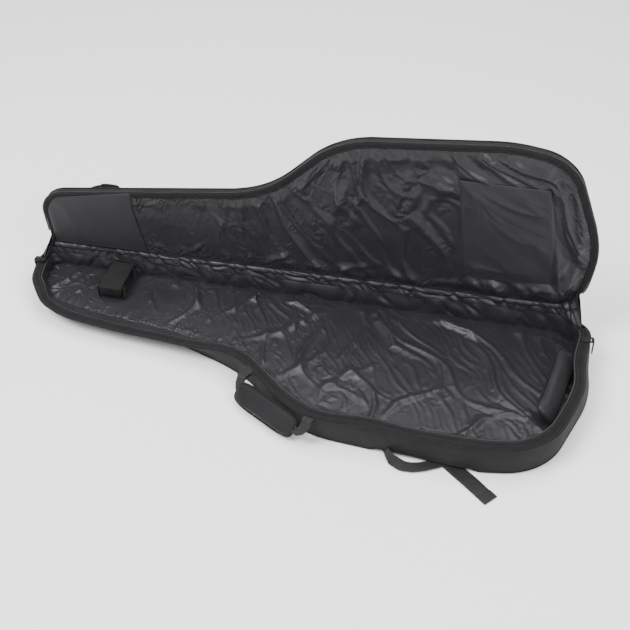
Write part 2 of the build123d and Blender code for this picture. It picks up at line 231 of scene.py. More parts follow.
def place(obj, body, slot, *nodes):
    """Put a piece on its body and hide the CAD nodes it stands for."""
    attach(obj, body)
    if nodes:
        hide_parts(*nodes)
    return obj


def at_height(distance, height):
    """The outline moved inwards and up; each may differ along it."""
    return np.column_stack([inset(distance), height * np.ones(LOOP_POINTS)])


def band(name, look, profile, shift, free=False, **more):
    """Sweep a profile of (inset, height) pairs round the bag, or only along the zip if free."""
    points = shift(np.stack([at_height(distance, height) for distance, height in profile], 1))
    if free:
        points = points[FREE]
    return grid(name, points, look, around=not free, **more)


def skin(rings, sides, first=0, closed=False):
    """Faces over a row of rings of points, with both ends capped unless the row is closed."""
    faces = []
    for i in range(rings if closed else rings - 1):
        here, there = first + i * sides, first + (i + 1) % rings * sides
        for k in range(sides):
            m = (k + 1) % sides
            faces.append((here + k, there + k, there + m, here + m))
    if not closed:
        last = first + (rings - 1) * sides
        faces.append(tuple(range(first + sides - 1, first - 1, -1)))
        faces.append(tuple(range(last, last + sides)))
    return faces


def tube(name, line, radius, look, closed=False, sides=8):
    """Round cord of cloth or thread along a line."""
    line = np.asarray(line, float)
    if closed:
        run = np.roll(line, -1, 0) - np.roll(line, 1, 0)
    else:
        run = np.gradient(line, axis=0)
    run /= np.linalg.norm(run, axis=1)[:, None]
    up = np.array([0.0, 0.0, 1.0]) if abs(run[:, 2]).max() < 0.95 else np.array([0.31, 0.95, 0.05])
    side = np.cross(run, up)
    side /= np.linalg.norm(side, axis=1)[:, None]
    top = np.cross(side, run)
    turn = np.linspace(0, 2 * math.pi, sides, endpoint=False)
    radius = np.asarray(radius) * np.ones(len(line))
    ring = side[:, None] * np.cos(turn)[None, :, None] + top[:, None] * np.sin(turn)[None, :, None]
    points = line[:, None] + ring * radius[:, None, None]
    return mesh(name, points.reshape(-1, 3), skin(len(line), sides, closed=closed), look)


def sew(name, lines, look, pitch=4.2, length=2.9, radius=0.42):
    """Rows of stitches: a short rounded thread for each one."""
    points, faces = [], []
    for line in lines:
        line = np.asarray(line, float)
        total = np.linalg.norm(np.diff(line, axis=0), axis=1).sum()
        count = max(2, int(total / pitch))
        spots = even(line, 2 * count + 1)
        for k in range(count):
            middle = spots[2 * k + 1]
            run = spots[2 * k + 2] - spots[2 * k]
            run = run / max(np.linalg.norm(run), 1e-9)
            side = np.cross(run, [0.13, 0.21, 0.97])
            side /= np.linalg.norm(side)
            top = np.cross(side, run)
            faces += skin(4, 4, first=len(points))
            for reach, size in ((-0.5, 0.35), (-0.28, 1.0), (0.28, 1.0), (0.5, 0.35)):
                for c, s in ((1, 0), (0, 1), (-1, 0), (0, -1)):
                    points.append(middle + run * length * reach + (side * c + top * s) * radius * size)
    return mesh(name, np.array(points), faces, look)


def ribbon(name, line, sideways, width, thick, look):
    """Flat webbing along a line; sideways is its width direction, one for all or one at each point."""
    line = np.asarray(line, float)
    sideways = np.broadcast_to(np.asarray(sideways, float), line.shape)
    sideways = sideways / np.linalg.norm(sideways, axis=1)[:, None]
    run = np.gradient(line, axis=0)
    run /= np.linalg.norm(run, axis=1)[:, None]
    face = np.cross(run, sideways)
    face /= np.linalg.norm(face, axis=1)[:, None]
    half, deep = width / 2, thick / 2
    section = [(-half, -deep * 0.4), (-half, deep * 0.4), (-half + 0.5, deep)]
    section += [(half * k, deep) for k in (-0.6, -0.2, 0.2, 0.6)] + [(half - 0.5, deep), (half, deep * 0.4)]
    section += [(-a, -b) for a, b in section]
    points = np.stack([line + sideways * a + face * b for a, b in section], 1)
    count, sides = points.shape[:2]
    index = np.arange(count * sides).reshape(count, sides)
    faces, texture = [], []
    length = np.concatenate([[0], np.cumsum(np.linalg.norm(np.diff(line, axis=0), axis=1))])
    for i in range(count - 1):
        for k in range(sides):
            m = (k + 1) % sides
            faces.append((int(index[i, k]), int(index[i, m]), int(index[i + 1, m]), int(index[i + 1, k])))
            v, w = section[k][0], section[m][0]
            texture += [(length[i], v), (length[i], w), (length[i + 1], w), (length[i + 1], v)]
    for end, order in ((0, 1), (count - 1, -1)):
        ring = [int(v) for v in index[end]][::-order]
        faces.append(tuple(ring))
        texture += [(length[end], section[(sides - 1 - j) if order == 1 else j][0]) for j in range(sides)]
    return mesh(name, points.reshape(-1, 3), faces, look, np.array(texture) * MM)


def piped(name, line, radius, body, slot="binding"):
    """Closed cord of binding on its body."""
    place(tube(name, line, radius, "binding", closed=True), body, slot)


def stitched(name, rows, body, slot):
    """Rows of stitches on their body."""
    place(sew(name, rows, "thread"), body, slot)


def webbed(name, line, sideways, width, thick, body, *nodes, look="webbing"):
    """Webbing on its body."""
    return place(ribbon(name, line, sideways, width, thick, look), body, "webbing", *nodes)


# ---- cloth ----------------------------------------------------------------------------------------
SETTLE_FRAMES = 14
PUFF_FRAMES = 20


def read_points(data):
    """The points of a mesh, in metres."""
    flat = np.zeros(len(data.vertices) * 3, np.float32)
    data.vertices.foreach_get("co", flat)
    return flat.reshape(-1, 3)


def play_cloth(obj, frames):
    """Run the simulation and give the points of its last frame."""
    for number in range(1, frames + 1):
        bpy.context.scene.frame_set(number)
    done = obj.evaluated_get(bpy.context.evaluated_depsgraph_get())
    points = read_points(done.data)
    bpy.context.scene.frame_set(1)
    return points


def make_cloth(obj, frames, gravity, **values):
    """Cloth on an object, with its stiffness and the rest of its settings."""
    cloth = obj.modifiers.new("Cloth", "CLOTH")
    for key, value in values.items():
        setattr(cloth.settings, key, value)
    cloth.settings.effector_weights.gravity = gravity
    cloth.point_cache.frame_start = 1
    cloth.point_cache.frame_end = frames
    return cloth


def settle(points, rest, held, floor):
    """Let a sheet with more cloth than its frame buckle into folds. rest gives its cut size."""
    sheet = grid("settling", points, "lining", smooth=False)
    sheet.shape_key_add(name="Basis")
    cut = sheet.shape_key_add(name="Cut")
    cut.data.foreach_set("co", (rest.reshape(-1, 3) * MM).astype(np.float32).ravel())
    pins = sheet.vertex_groups.new(name="held")
    pins.add([int(i) for i in np.where(held.ravel())[0]], 1.0, "REPLACE")
    plate = grid("plate", floor, "lining", smooth=False)
    plate.modifiers.new("Collision", "COLLISION")
    plate.collision.thickness_outer = 0.001
    plate.collision.cloth_friction = 8
    cloth = make_cloth(sheet, SETTLE_FRAMES, 0.15, quality=5, mass=0.12, tension_stiffness=25,
                       compression_stiffness=25, shear_stiffness=6, bending_stiffness=2.0,
                       vertex_group_mass="held", rest_shape_key=cut, air_damping=4)
    cloth.collision_settings.distance_min = 0.001
    settled = play_cloth(sheet, SETTLE_FRAMES)
    for body in (sheet, plate):
        bpy.data.objects.remove(body)
    return settled.reshape(points.shape) / MM


def puff(name, source, look, voxel, pressure, cap):
    """Padded piece: a closed form is remeshed, blown up as cloth, and held near where it began."""
    source.name = name + "_cut"
    bpy.context.view_layer.objects.active = source
    remesh = source.modifiers.new("Remesh", "REMESH")
    remesh.mode = "VOXEL"
    remesh.voxel_size = voxel * MM
    data = bpy.data.meshes.new_from_object(source.evaluated_get(bpy.context.evaluated_depsgraph_get()))
    pad = bpy.data.objects.new(name, data)
    bpy.context.scene.collection.objects.link(pad)
    bpy.data.objects.remove(source)
    before = read_points(data)
    after = before
    cloth = make_cloth(pad, PUFF_FRAMES, 0.0, quality=4, use_pressure=True,
                       uniform_pressure_force=pressure, tension_stiffness=12,
                       compression_stiffness=12, shear_stiffness=4, bending_stiffness=0.3)
    after = play_cloth(pad, PUFF_FRAMES)
    pad.modifiers.remove(cloth)
    moved = after - before
    size = np.linalg.norm(moved, axis=1)[:, None]
    moved *= np.minimum(1, cap * MM / np.maximum(size, 1e-9))
    data.vertices.foreach_set("co", (before + moved).ravel())
    data.polygons.foreach_set("use_smooth", [True] * len(data.polygons))
    data.materials.clear()
    data.materials.append(LOOKS[look])
    smooth = pad.modifiers.new("Smooth", "SMOOTH")
    smooth.iterations = 4
    pad.modifiers.new("Subdivision", "SUBSURF").render_levels = 1
    return pad


# ---- materials ------------------------------------------------------------------------------------
class Look:
    """Node material with a base colour that varies, and a bump built up from layers."""

    def __init__(self, name, colour, rough, sheen=0.0, specular=0.5, metal=0.0, place="UV"):
        self.material = bpy.data.materials.new(name)
        self.material.use_nodes = True
        self.nodes = self.material.node_tree.nodes
        self.links = self.material.node_tree.links
        self.shader = self.nodes["Principled BSDF"]
        self.shader.inputs["Metallic"].default_value = metal
        self.shader.inputs["Specular IOR Level"].default_value = specular
        self.shader.inputs["Sheen Weight"].default_value = sheen
        self.shader.inputs["Sheen Roughness"].default_value = 0.45
        self.where = self.nodes.new("ShaderNodeTexCoord")
        self.place = self.where.outputs[place]
        self.solid = self.where.outputs["Object"]
        self.colour = colour
        self.rough = rough
        self.height = None
        self.bump = None

    def node(self, kind, **values):
        """A shader node of a kind, with its sockets and settings filled in."""
        made = self.nodes.new("ShaderNode" + kind)
        for key, value in values.items():
            if key in made.inputs:
                made.inputs[key].default_value = value
            else:
                setattr(made, key, value)
        return made

    def noise(self, scale, detail=3.0, rough=0.6, source=None):
        """Cloudy variation, 0 to 1, through the solid unless another source is given."""
        made = self.node("TexNoise", Scale=scale, Detail=detail, Roughness=rough)
        self.links.new(source or self.solid, made.inputs["Vector"])
        return made.outputs["Fac"]

    def math(self, operation, *values):
        """One operation on numbers or sockets."""
        made = self.node("Math", operation=operation)
        for socket, value in zip(made.inputs, values):
            if isinstance(value, (int, float)):
                socket.default_value = value
            else:
                self.links.new(value, socket)
        return made.outputs[0]

    def along(self, axis):
        """Distance along X or Y of the mapping."""
        split = self.node("SeparateXYZ")
        self.links.new(self.place, split.inputs[0])
        return split.outputs[axis]

    def waves(self, axis, period):
        """Height 0 to 1 that repeats along X or Y of the mapping."""
        turned = self.math("MULTIPLY", self.along(axis), 2 * math.pi / (period * MM))
        return self.math("MULTIPLY_ADD", self.math("SINE", turned), 0.5, 0.5)

    def crinkle(self, scale, turn, stretch=0.35):
        """Fine sharp wrinkles that run mostly one way across the cloth, in degrees."""
        laid = self.node("Mapping")
        laid.inputs["Rotation"].default_value = (0, 0, math.radians(-turn))
        laid.inputs["Scale"].default_value = (stretch, 1, 1)
        self.links.new(self.place, laid.inputs["Vector"])
        made = self.node("TexNoise", noise_type="RIDGED_MULTIFRACTAL", Scale=scale, Detail=3.0, Roughness=0.5)
        made.inputs["Distortion"].default_value = 0.6
        self.links.new(laid.outputs["Vector"], made.inputs["Vector"])
        return made.outputs["Fac"]

    def weave(self, period):
        """Plain weave: warp and weft bulge in turn."""
        turns = math.pi / (period * MM)
        a = self.math("SINE", self.math("MULTIPLY", self.along("X"), turns))
        b = self.math("SINE", self.math("MULTIPLY", self.along("Y"), turns))
        return self.math("ABSOLUTE", self.math("MULTIPLY", a, b))

    def herringbone(self, period, width):
        """Slanted ribs that turn back at every width."""
        back = self.math("PINGPONG", self.along("Y"), width * MM)
        line = self.math("ADD", self.along("X"), back)
        turned = self.math("SINE", self.math("MULTIPLY", line, 2 * math.pi / (period * MM)))
        return self.math("MULTIPLY_ADD", turned, 0.5, 0.5)

    def raise_(self, height, depth, strength=1.0):
        """Add one bump layer of that depth in millimetres."""
        made = self.node("Bump", Strength=strength, Distance=depth * MM)
        self.links.new(height, made.inputs["Height"])
        if self.bump is not None:
            self.links.new(self.bump, made.inputs["Normal"])
        self.bump = made.outputs["Normal"]
        return self

    def tint(self, fac, low=0.8, high=1.2):
        """Vary the base colour from low to high times itself."""
        ramp = self.node("ValToRGB")
        self.links.new(fac, ramp.inputs["Fac"])
        ramp.color_ramp.elements[0].position = 0.25
        ramp.color_ramp.elements[1].position = 0.75
        ramp.color_ramp.elements[0].color = [c * low for c in self.colour] + [1]
        ramp.color_ramp.elements[1].color = [c * high for c in self.colour] + [1]
        self.links.new(ramp.outputs["Color"], self.shader.inputs["Base Color"])
        return self

    def shine(self, fac, spread=0.1):
        """Vary the roughness about its value."""
        made = self.node("MapRange")
        self.links.new(fac, made.inputs["Value"])
        made.inputs["To Min"].default_value = self.rough - spread
        made.inputs["To Max"].default_value = self.rough + spread
        self.links.new(made.outputs["Result"], self.shader.inputs["Roughness"])
        return self

    def done(self):
        """The finished material."""
        if self.bump is not None:
            self.links.new(self.bump, self.shader.inputs["Normal"])
        return self.material


def outer_fabric():
    """Matte woven polyester with a little dust and wear."""
    look = Look("outer_fabric", (0.0098, 0.0090, 0.0100), 0.80, sheen=0.04, specular=0.20)
    look.tint(look.noise(14, 6, 0.7), 0.72, 1.35).shine(look.noise(60), 0.08)
    look.raise_(look.noise(22, 4), 1.6, 0.5).raise_(look.noise(220, 2), 0.25, 0.6)
    return look.raise_(look.weave(0.9), 0.16, 0.9).done()


def lining_fabric():
    """Thin satin-faced lining that catches the light on its folds."""
    look = Look("lining", (0.0138, 0.0132, 0.0162), 0.40, sheen=0.03, specular=0.34)
    look.tint(look.noise(9, 5, 0.65), 0.78, 1.25).shine(look.noise(35), 0.07)
    look.raise_(look.crinkle(9, 62), 3.0, 0.6).raise_(look.crinkle(34, 48), 0.7, 0.4)
    look.raise_(look.noise(90, 3, 0.6), 0.3, 0.4)
    return look.raise_(look.weave(0.6), 0.05, 0.6).done()


def patch_cloth():
    """Flat heavier cloth of the patches."""
    look = Look("patch_fabric", (0.0130, 0.0125, 0.0147), 0.60, sheen=0.04, specular=0.32)
    look.tint(look.noise(30, 5), 0.82, 1.2).shine(look.noise(60), 0.06)
    return look.raise_(look.noise(60, 3), 0.4, 0.4).raise_(look.herringbone(1.6, 4.0), 0.12, 0.8).done()


def tape_cloth():
    """Zip tape with herringbone ribs."""
    look = Look("zip_tape", (0.0078, 0.0075, 0.0082), 0.76, sheen=0.03, specular=0.13)
    look.tint(look.noise(40, 4), 0.75, 1.3).shine(look.noise(80), 0.07)
    return look.raise_(look.noise(70, 3), 0.4, 0.5).raise_(look.herringbone(1.8, 2.6), 0.22, 1.0).done()


def webbing_cloth(name="webbing", ribs=2.0, shade=1.0, specular=0.28):
    """Woven polypropylene webbing with ribs across its length."""
    look = Look(name, (0.0108 * shade, 0.0100 * shade, 0.0108 * shade), 0.68, sheen=0.04, specular=specular)
    look.tint(look.noise(50, 4), 0.75, 1.3).shine(look.noise(90), 0.07)
    look.raise_(look.waves("X", ribs), 0.22, 0.9)
    return look.raise_(look.waves("Y", ribs * 0.8), 0.16, 0.8).done()


def thread():
    """Bonded nylon thread, a little lighter than the cloth."""
    look = Look("thread", (0.026, 0.025, 0.028), 0.60, specular=0.3, place="Object")
    look.tint(look.noise(900), 0.7, 1.4).shine(look.noise(400), 0.1)
    return look.raise_(look.noise(2500, 1), 0.1, 0.7).done()


def hook_pile():
    """Fuzzy hook and loop tape."""
    look = Look("hook_and_loop", (0.010, 0.010, 0.010), 0.9, sheen=0.3, place="Object")
    look.tint(look.noise(700, 2), 0.5, 1.6).shine(look.noise(300), 0.05)
    return look.raise_(look.noise(1400, 2), 0.9, 1.0).done()


def black_metal():
    """Painted zinc of the sliders and their pulls."""
    look = Look("black_metal", (0.022, 0.022, 0.023), 0.34, specular=0.6, metal=0.75, place="Object")
    look.tint(look.noise(240, 4), 0.7, 1.5).shine(look.noise(160, 4), 0.1)
    return look.raise_(look.noise(700, 3), 0.06, 0.6).done()


def buckle_plastic():
    """Moulded acetal of the buckles."""
    look = Look("buckle_plastic", (0.012, 0.012, 0.0125), 0.42, specular=0.5, place="Object")
    look.tint(look.noise(120, 4), 0.8, 1.3).shine(look.noise(200, 4), 0.08)
    return look.raise_(look.noise(1500, 2), 0.06, 0.8).done()


def coil_nylon():
    """Smooth nylon of the zip's coil."""
    look = Look("zip_coil", (0.010, 0.010, 0.0105), 0.32, specular=0.55, place="Object")
    look.tint(look.noise(300, 3), 0.8, 1.3).shine(look.noise(250), 0.08)
    return look.raise_(look.noise(900, 2), 0.05, 0.6).done()


LOOKS = {
    "outer_fabric": outer_fabric(),
    "lining": lining_fabric(),
    "patch_fabric": patch_cloth(),
    "zip_tape": tape_cloth(),
    "webbing": webbing_cloth(),
    "binding": webbing_cloth("binding", 1.2, 0.8, 0.15),
    "thread": thread(),
    "hook_and_loop": hook_pile(),
    "black_metal": black_metal(),
    "buckle_plastic": buckle_plastic(),
    "zip_coil": coil_nylon(),
}


# ---- the bag's own soft shape ---------------------------------------------------------------------
def waver(wave, seed):
    """Slow change along the outline, nil at the hinge side and by the zip sliders."""
    still = np.clip((ZIP_END_Y - 70 - LOOP[:, 1]) / 60, 0, 1)
    return ripples(ARC, 0 * ARC, wave, 90, 4, seed, 7) * still


SWAY = waver(210, 3) * 1.3
DIP = waver(260, 8) * 0.9
SAG = 15.0                                       # how far the rim of the neck hangs down
AT_HINGE = np.clip((LOOP[:, 1] - 158.0) / 26.0, 0, 1) ** 1.5
FLARE = 12.0 * NEAR_NECK + 7.0 * along_near(-135.0, 150.0)
TUCK = 27.0 * along_near(-535.0, -165.0, 90.0)   # how far the foot of the near wall is drawn in


def close_to(x, y, reach):
    """1 where the outline passes a spot, falling away to 0 along it."""
    return np.exp(-((LOOP[:, 0] - x) ** 2 + (LOOP[:, 1] - y) ** 2) / (2 * reach ** 2))


SHRUG = 27.0 * close_to(-575, 30, 62)       # the near head corner is pulled in
LEAN_IN = 15.0 * close_to(592, 55, 48) + 13.0 * close_to(570, 196, 24)      # the top of the tail leans in


def lean(points):
    """Walls follow the rim's slope, and the near wall of the neck sags and rolls outwards."""
    p = points.copy()
    share = np.clip(p[..., 2] / WALL_TOP, 0, 1.15)
    above = np.clip((p[..., 2] - BACK_TOP) / (WALL_TOP - BACK_TOP), 0, 1.2)
    drop = (TAIL_X - p[..., 0]) * math.tan(RIM_TILT)
    p[..., 2] -= (drop + (SAG * NEAR_NECK + DIP)[:, None]) * above
    out = (FLARE + SWAY - LEAN_IN)[:, None] * share ** 1.4
    out = out - TUCK[:, None] * np.clip(1 - share, 0, 1) - SHRUG[:, None]
    p[..., :2] += OUT[:, None, :] * out[..., None]
    return p


def lean_line(distance, height):
    """A line round the base, at a distance inside the outline."""
    return lean(at_height(distance, height)[:, None])[:, 0]


def gathers(seed, pitch=11.0):
    """Scallops of cloth pulled in by a seam: 0 to 1 along the outline."""
    turn = ARC / pitch + ripples(ARC, 0 * ARC, 60, 90, 4, seed) * 0.95
    size = 0.60 + 0.50 * ripples(ARC, 0 * ARC, 45, 90, 4, seed + 1)
    return abs(np.sin(np.pi * turn)) * np.clip(size, 0.15, 1.3)


def edge_distance(x, y, line):
    """How far inside a closed line each point is."""
    result = np.full(x.size, 1e9)
    flat = np.stack([x.ravel(), y.ravel()], 1)
    for part in np.array_split(np.arange(LOOP_POINTS), 20):
        gap = np.hypot(flat[:, None, 0] - line[part, 0], flat[:, None, 1] - line[part, 1])
        result = np.minimum(result, gap.min(1))
    return result.reshape(x.shape)


CORNER_AT = [int(np.argmax(LOOP @ np.array(d))) for d in ((-1, 1), (-1, -1), (1, -1), (1, 1))]


def panel(line, across, up):
    """Points inside a closed line; across and up run 0 to 1 from the near head corner."""
    far_head, near_head, near_tail, far_tail = CORNER_AT
    near = line[near_head:near_tail + 1]
    tail = line[near_tail:far_tail + 1]
    far = np.roll(line, -far_tail, axis=0)[:(far_head - far_tail) % LOOP_POINTS + 1][::-1]
    head = line[far_head:near_head + 1][::-1]

    def by_x(curve, t):
        """Points a share of the way along the bag on one long side."""
        x = curve[0, 0] + (curve[-1, 0] - curve[0, 0]) * t
        return np.stack([x, np.interp(x, curve[:, 0], curve[:, 1])], -1)

    def by_y(curve, t):
        """Points a share of the way across the bag on one end."""
        y = curve[0, 1] + (curve[-1, 1] - curve[0, 1]) * t
        return np.stack([np.interp(y, curve[:, 1], curve[:, 0]), y], -1)

    u, v = across[..., None], up[..., None]
    sides = (1 - v) * by_x(near, across) + v * by_x(far, across)
    ends = (1 - u) * by_y(head, up) + u * by_y(tail, up)
    corner = (1 - u) * ((1 - v) * near[0] + v * far[0]) + u * ((1 - v) * near[-1] + v * far[-1])
    return sides + ends - corner


def panel_grid(line, columns, rows):
    """An even grid of points that fills a closed line."""
    across, up = np.meshgrid(np.linspace(0, 1, columns), np.linspace(0, 1, rows), indexing="ij")
    return panel(line, across, up)


def border(shape):
    """Marks the outermost points of a grid."""
    edge = np.zeros(shape, bool)
    edge[[0, -1], :] = True
    edge[:, [0, -1]] = True
    return edge


# ---- base: walls and rim --------------------------------------------------------------------------
# The foot of the wall rises where the shoulder strap comes out from under it
strap_way = np.clip((LOOP[:, 0] - 205) / 18, 0, 1) * np.clip((405 - LOOP[:, 0]) / 18, 0, 1)
strap_way *= LOOP[:, 1] < -120
EXIT = strap_way ** 2 * (3 - 2 * strap_way) * 5.8
wall = [(9.0, 0.25 + EXIT), (3.0, 0.25 + EXIT), (0.9, 0.8 + EXIT), (0.1, 2.6 + EXIT), (0.0, 5.0 + EXIT)]
belly = ripples(ARC, 0 * ARC, 120, 90, 4, 21) * 0.7
for share in np.linspace(0.08, 0.97, 16):
    bulge = math.sin(math.pi * share) * (1.6 + belly)
    wall.append((-bulge, 6.0 + EXIT * (1 - share) + (WALL_TOP - 6.0) * share))
wall += [(0.5, 62.8), (1.4, 63.2)]
place(band("BaseWall", "outer_fabric", wall, lean), "base", "outer_fabric",
      "wall_shell", "wall_foam_head", "wall_foam_near", "wall_foam_tail", "wall_foam_far")

foot = lean_line(0.5, 4.4 + EXIT)
piped("FootPiping", foot, 1.9, "base")
piping = lean_line(-0.6 + 1.8 * AT_HINGE, 63.6)
piped("RimPiping", piping, 2.1 - 1.2 * AT_HINGE, "base")
fold = [(0.6, 63.0), (-0.5, 64.4), (-0.6, 66.2), (0.2, 67.8), (1.8, 68.6), (4.4, 68.7)]
place(band("RimBinding", "binding", fold, lean, thick=0.8), "base", "binding", "rim_binding")
tape = [(2.6, 68.7), (5.0, 69.2), (8.0, 69.5), (12.0, 69.6), (15.0, 69.3), (17.4, 68.7)]
tape = [(distance, height - 0.5 * (distance - 2.6) * NEAR_NECK) for distance, height in tape]
place(band("BaseZipTape", "zip_tape", tape, lean, free=True, thick=0.9),
      "base", "zip_tape", "base_zip_tape")
rows = [lean_line(distance, height - 0.5 * (distance - 2.6) * NEAR_NECK)[FREE]
        for distance, height in ((4.2, 69.75), (13.6, 70.1))]
stitched("BaseTapeStitches", rows, "base", "binding")


# Section of one coil tooth, outwards and upwards
TOOTH = [(-1.7, 0), (-1.1, 1.0), (0.9, 1.15), (2.0, 0.7), (2.3, 0), (2.0, -0.7), (0.9, -1.15), (-1.1, -1.0)]


def coil(name, line, outward, look, pitch=2.4):
    """Nylon coil: one loop for each tooth, side by side along the tape's edge."""
    total = np.linalg.norm(np.diff(line, axis=0), axis=1).sum()
    count = int(total / pitch)
    spots = even(np.hstack([line, outward]), count)
    points, faces = [], []
    for k in range(1, count - 1):
        here, out = spots[k, :3], spots[k, 3:]
        run = spots[k + 1, :3] - spots[k - 1, :3]
        run /= np.linalg.norm(run)
        up = np.cross(run, out)
        base = len(points)
        for along in (-0.62, -0.2, 0.2, 0.62):
            slim = 0.8 if abs(along) > 0.5 else 1.0
            for a, b in TOOTH:
                points.append(here + run * along * 1.25 + out * a * slim + up * b * slim)
        for j in range(3):
            for m in range(8):
                a, b = base + 8 * j + m, base + 8 * j + (m + 1) % 8
                faces.append((a, b, b + 8, a + 8))
        faces.append(tuple(base + m for m in reversed(range(8))))
        faces.append(tuple(base + 24 + m for m in range(8)))
    return mesh(name, np.array(points), faces, look)


coil_line = lean_line(18.6, 68.4 - 8.0 * NEAR_NECK)[FREE]
place(coil("BaseZipCoil", coil_line, -np.column_stack([OUT, 0 * ARC])[FREE], "zip_coil"),
      "base", "zip_coil", "base_zip_coil")

# ---- base: linings --------------------------------------------------------------------------------
gather_low, gather_top = gathers(31, 10.5), gathers(35, 14.0)
lining = []
for share in np.linspace(0, 1, 34):
    top_at = 67.9 - 7.5 * NEAR_NECK
    height = top_at - (top_at - 24.3) * share
    middle = math.sin(math.pi * share)
    low = 3.4 * gather_low * math.exp(-(1 - share) * 43 / 13)
    top = 1.6 * gather_top * math.exp(-share * 43 / 9)
    level = np.full(LOOP_POINTS, 67.9 - 43.6 * share)
    fold = 7.0 * facets(ARC, level, 46, 58, 41) * middle ** 0.7
    lining.append((16.2 + 3.0 * share + 6.0 * middle ** 0.8 + low + top - fold, height))
place(band("WallLining", "lining", lining, lean), "base", "lining", "wall_lining")

SEAM_IN = 20.0
seam_line = lean_line(SEAM_IN + 1.2 * gather_low, 25.4 + 1.5 * gather_low)
piped("SeamBinding", seam_line, 1.1 + 0.5 * gather_low, "base", "lining")

columns, rows = 300, 88
floor_line = lean_line(SEAM_IN, BACK_TOP + 0.5)[:, :2]
spread = panel_grid(floor_line, columns, rows)
x, y = spread[..., 0], spread[..., 1]
depth = edge_distance(x, y, floor_line)
loose = np.clip(depth / 25, 0, 1)


def along_outline(x, y, values):
    """Value along the outline at the nearest point of it."""
    flat = np.stack([x.ravel(), y.ravel()], 1)
    pick = [np.argmin(np.hypot(LOOP[:, 0] - a, LOOP[:, 1] - b)) for a, b in flat]
    return values[pick].reshape(x.shape)


def pleats(x, y, depth, gather, reach):
    """Small pleats by a gathered seam that run out towards the middle of a sheet."""
    return (along_outline(x, y, gather) - 0.4) * np.exp(-depth / reach) * (1 - np.exp(-depth / 4))


def folds(x, y, lines):
    """All the folds of a list: the points of each, its width and its height."""
    return sum(crease(x, y, *line) for line in lines)


BACK_FOLDS = [
    (((-520, 150), (-470, 110), (-430, 80)), 9, 6),
    (((-340, 160), (-300, 100), (-270, 50)), 9, 7),
    (((-260, 170), (-200, 110), (-150, 40)), 10, 8),
    (((-180, 60), (-120, 120), (-90, 170)), 9, 7),
    (((-100, 20), (-20, 60), (60, 150)), 11, 9),
    (((0, -70), (60, -10), (90, 60)), 10, 8),
    (((70, -120), (120, -40), (200, 20)), 12, 10),
    (((160, 150), (210, 70), (300, 30)), 12, 10),
    (((210, -150), (240, -80), (330, -20)), 11, 9),
    (((330, 170), (380, 90), (400, 10)), 11, 9),
    (((360, -160), (400, -90), (480, -60)), 10, 8),
]
shape = 0.6 + folds(x, y, BACK_FOLDS) * 0.7 * loose + 11.0 * facets(x, y, 115, 118, 51, 5) * loose
shape += 1.2 * facets(x, y, 50, 108, 57) * loose + 7.0 * pleats(x, y, depth, gather_low, 16)
edge = border(x.shape)
shape[edge] = 0.2 + 1.6 * along_outline(x[edge], y[edge], gather_low)
cut = np.dstack([x * 1.004, y * 1.005, shape])
first = np.dstack([x, y, shape])
plate = np.dstack([x, y, 0 * x - 1.2])[::6, ::6]
lay = settle(first, cut, edge, plate)
lay[..., 2] += BACK_TOP + 0.9
back_lining = grid("BackLining", lay, "lining")
back_lining.modifiers.new("Subdivision", "SUBSURF").levels = 1
place(back_lining, "base", "lining", "back_lining", "back_foam")

# The underside, with the room that the folded shoulder straps lie in
PADS = {"right": ((-205.0, 62.0), (190.0, 32.0)), "left": ((-205.0, 140.0), (190.0, 146.0))}
LOCKS = {"right": (240.0, -95.0), "left": (290.0, 128.0)}
TAIL_TURN = {"right": -40.5, "left": -40.0}


def away(point, turn, distance):
    """The spot at a distance from a point, in a direction in degrees."""
    angle = math.radians(turn)
    return (point[0] + distance * math.cos(angle), point[1] + distance * math.sin(angle))


def outside(x, y, a, b, radius):
    """Distance outside a capsule."""
    a, b = np.array(a), np.array(b)
    run = b - a
    t = np.clip(((x - a[0]) * run[0] + (y - a[1]) * run[1]) / (run @ run), 0, 1)
    return np.hypot(x - a[0] - t * run[0], y - a[1] - t * run[1]) - radius


def recess(x, y):
    """Height of the underside over the floor."""
    high = 0.25 + 0 * x
    rooms = []
    for side, (near_end, far_end) in PADS.items():
        lock = LOCKS[side]
        reach = 270.0 if side == "right" else 85.0
        rooms.append((near_end, far_end, 36.0, 13.2))
        rooms.append((far_end, lock, 31.0, 13.2))
        rooms.append((away(lock, TAIL_TURN[side], -55), away(lock, TAIL_TURN[side], reach), 24.0, 5.3))
    rooms.append((LOCKS["left"], away(LOCKS["left"], 15.0, 85.0), 24.0, 5.3))
    rooms.append(((250.0, -150.0), (330.0, -150.0), 42.0, 5.3))
    rooms.append(((-222.0, 62.0), (-222.0, 140.0), 20.0, 13.2))
    for a, b, radius, top in rooms:
        inside = np.clip(0.5 - outside(x, y, a, b, radius) / 7.0, 0, 1)
        high = np.maximum(high, 0.25 + (top - 0.25) * inside ** 2 * (3 - 2 * inside))
    return high


spread = panel_grid(lean_line(8.6, 0.3)[:, :2], 300, 100)
x, y = spread[..., 0], spread[..., 1]
under = grid("BackUnderside", np.dstack([x, y, recess(x, y)])[:, ::-1], "outer_fabric")
place(under, "base", "outer_fabric", "back_shell")

# ---- lid ------------------------------------------------------------------------------------------
def lid_line(distance, height):
    """A line round the lid, at a distance inside the outline."""
    return stand(at_height(distance, height))


side = [(24.5, 74.2), (22.0, 74.0), (20.6, 75.0), (19.8, 77.5), (19.4, 80.5),
        (19.6, 84.0), (20.4, 87.0), (22.0, 89.4), (24.0, 90.2)]
quilt = ripples(ARC, 0 * ARC, 90, 90, 4, 61) * 0.5
side = [(distance + quilt * (76 < height < 88), height) for distance, height in side]
place(band("LidSide", "outer_fabric", side, stand), "lid", "outer_fabric", "lid_binding", "lid_foam")

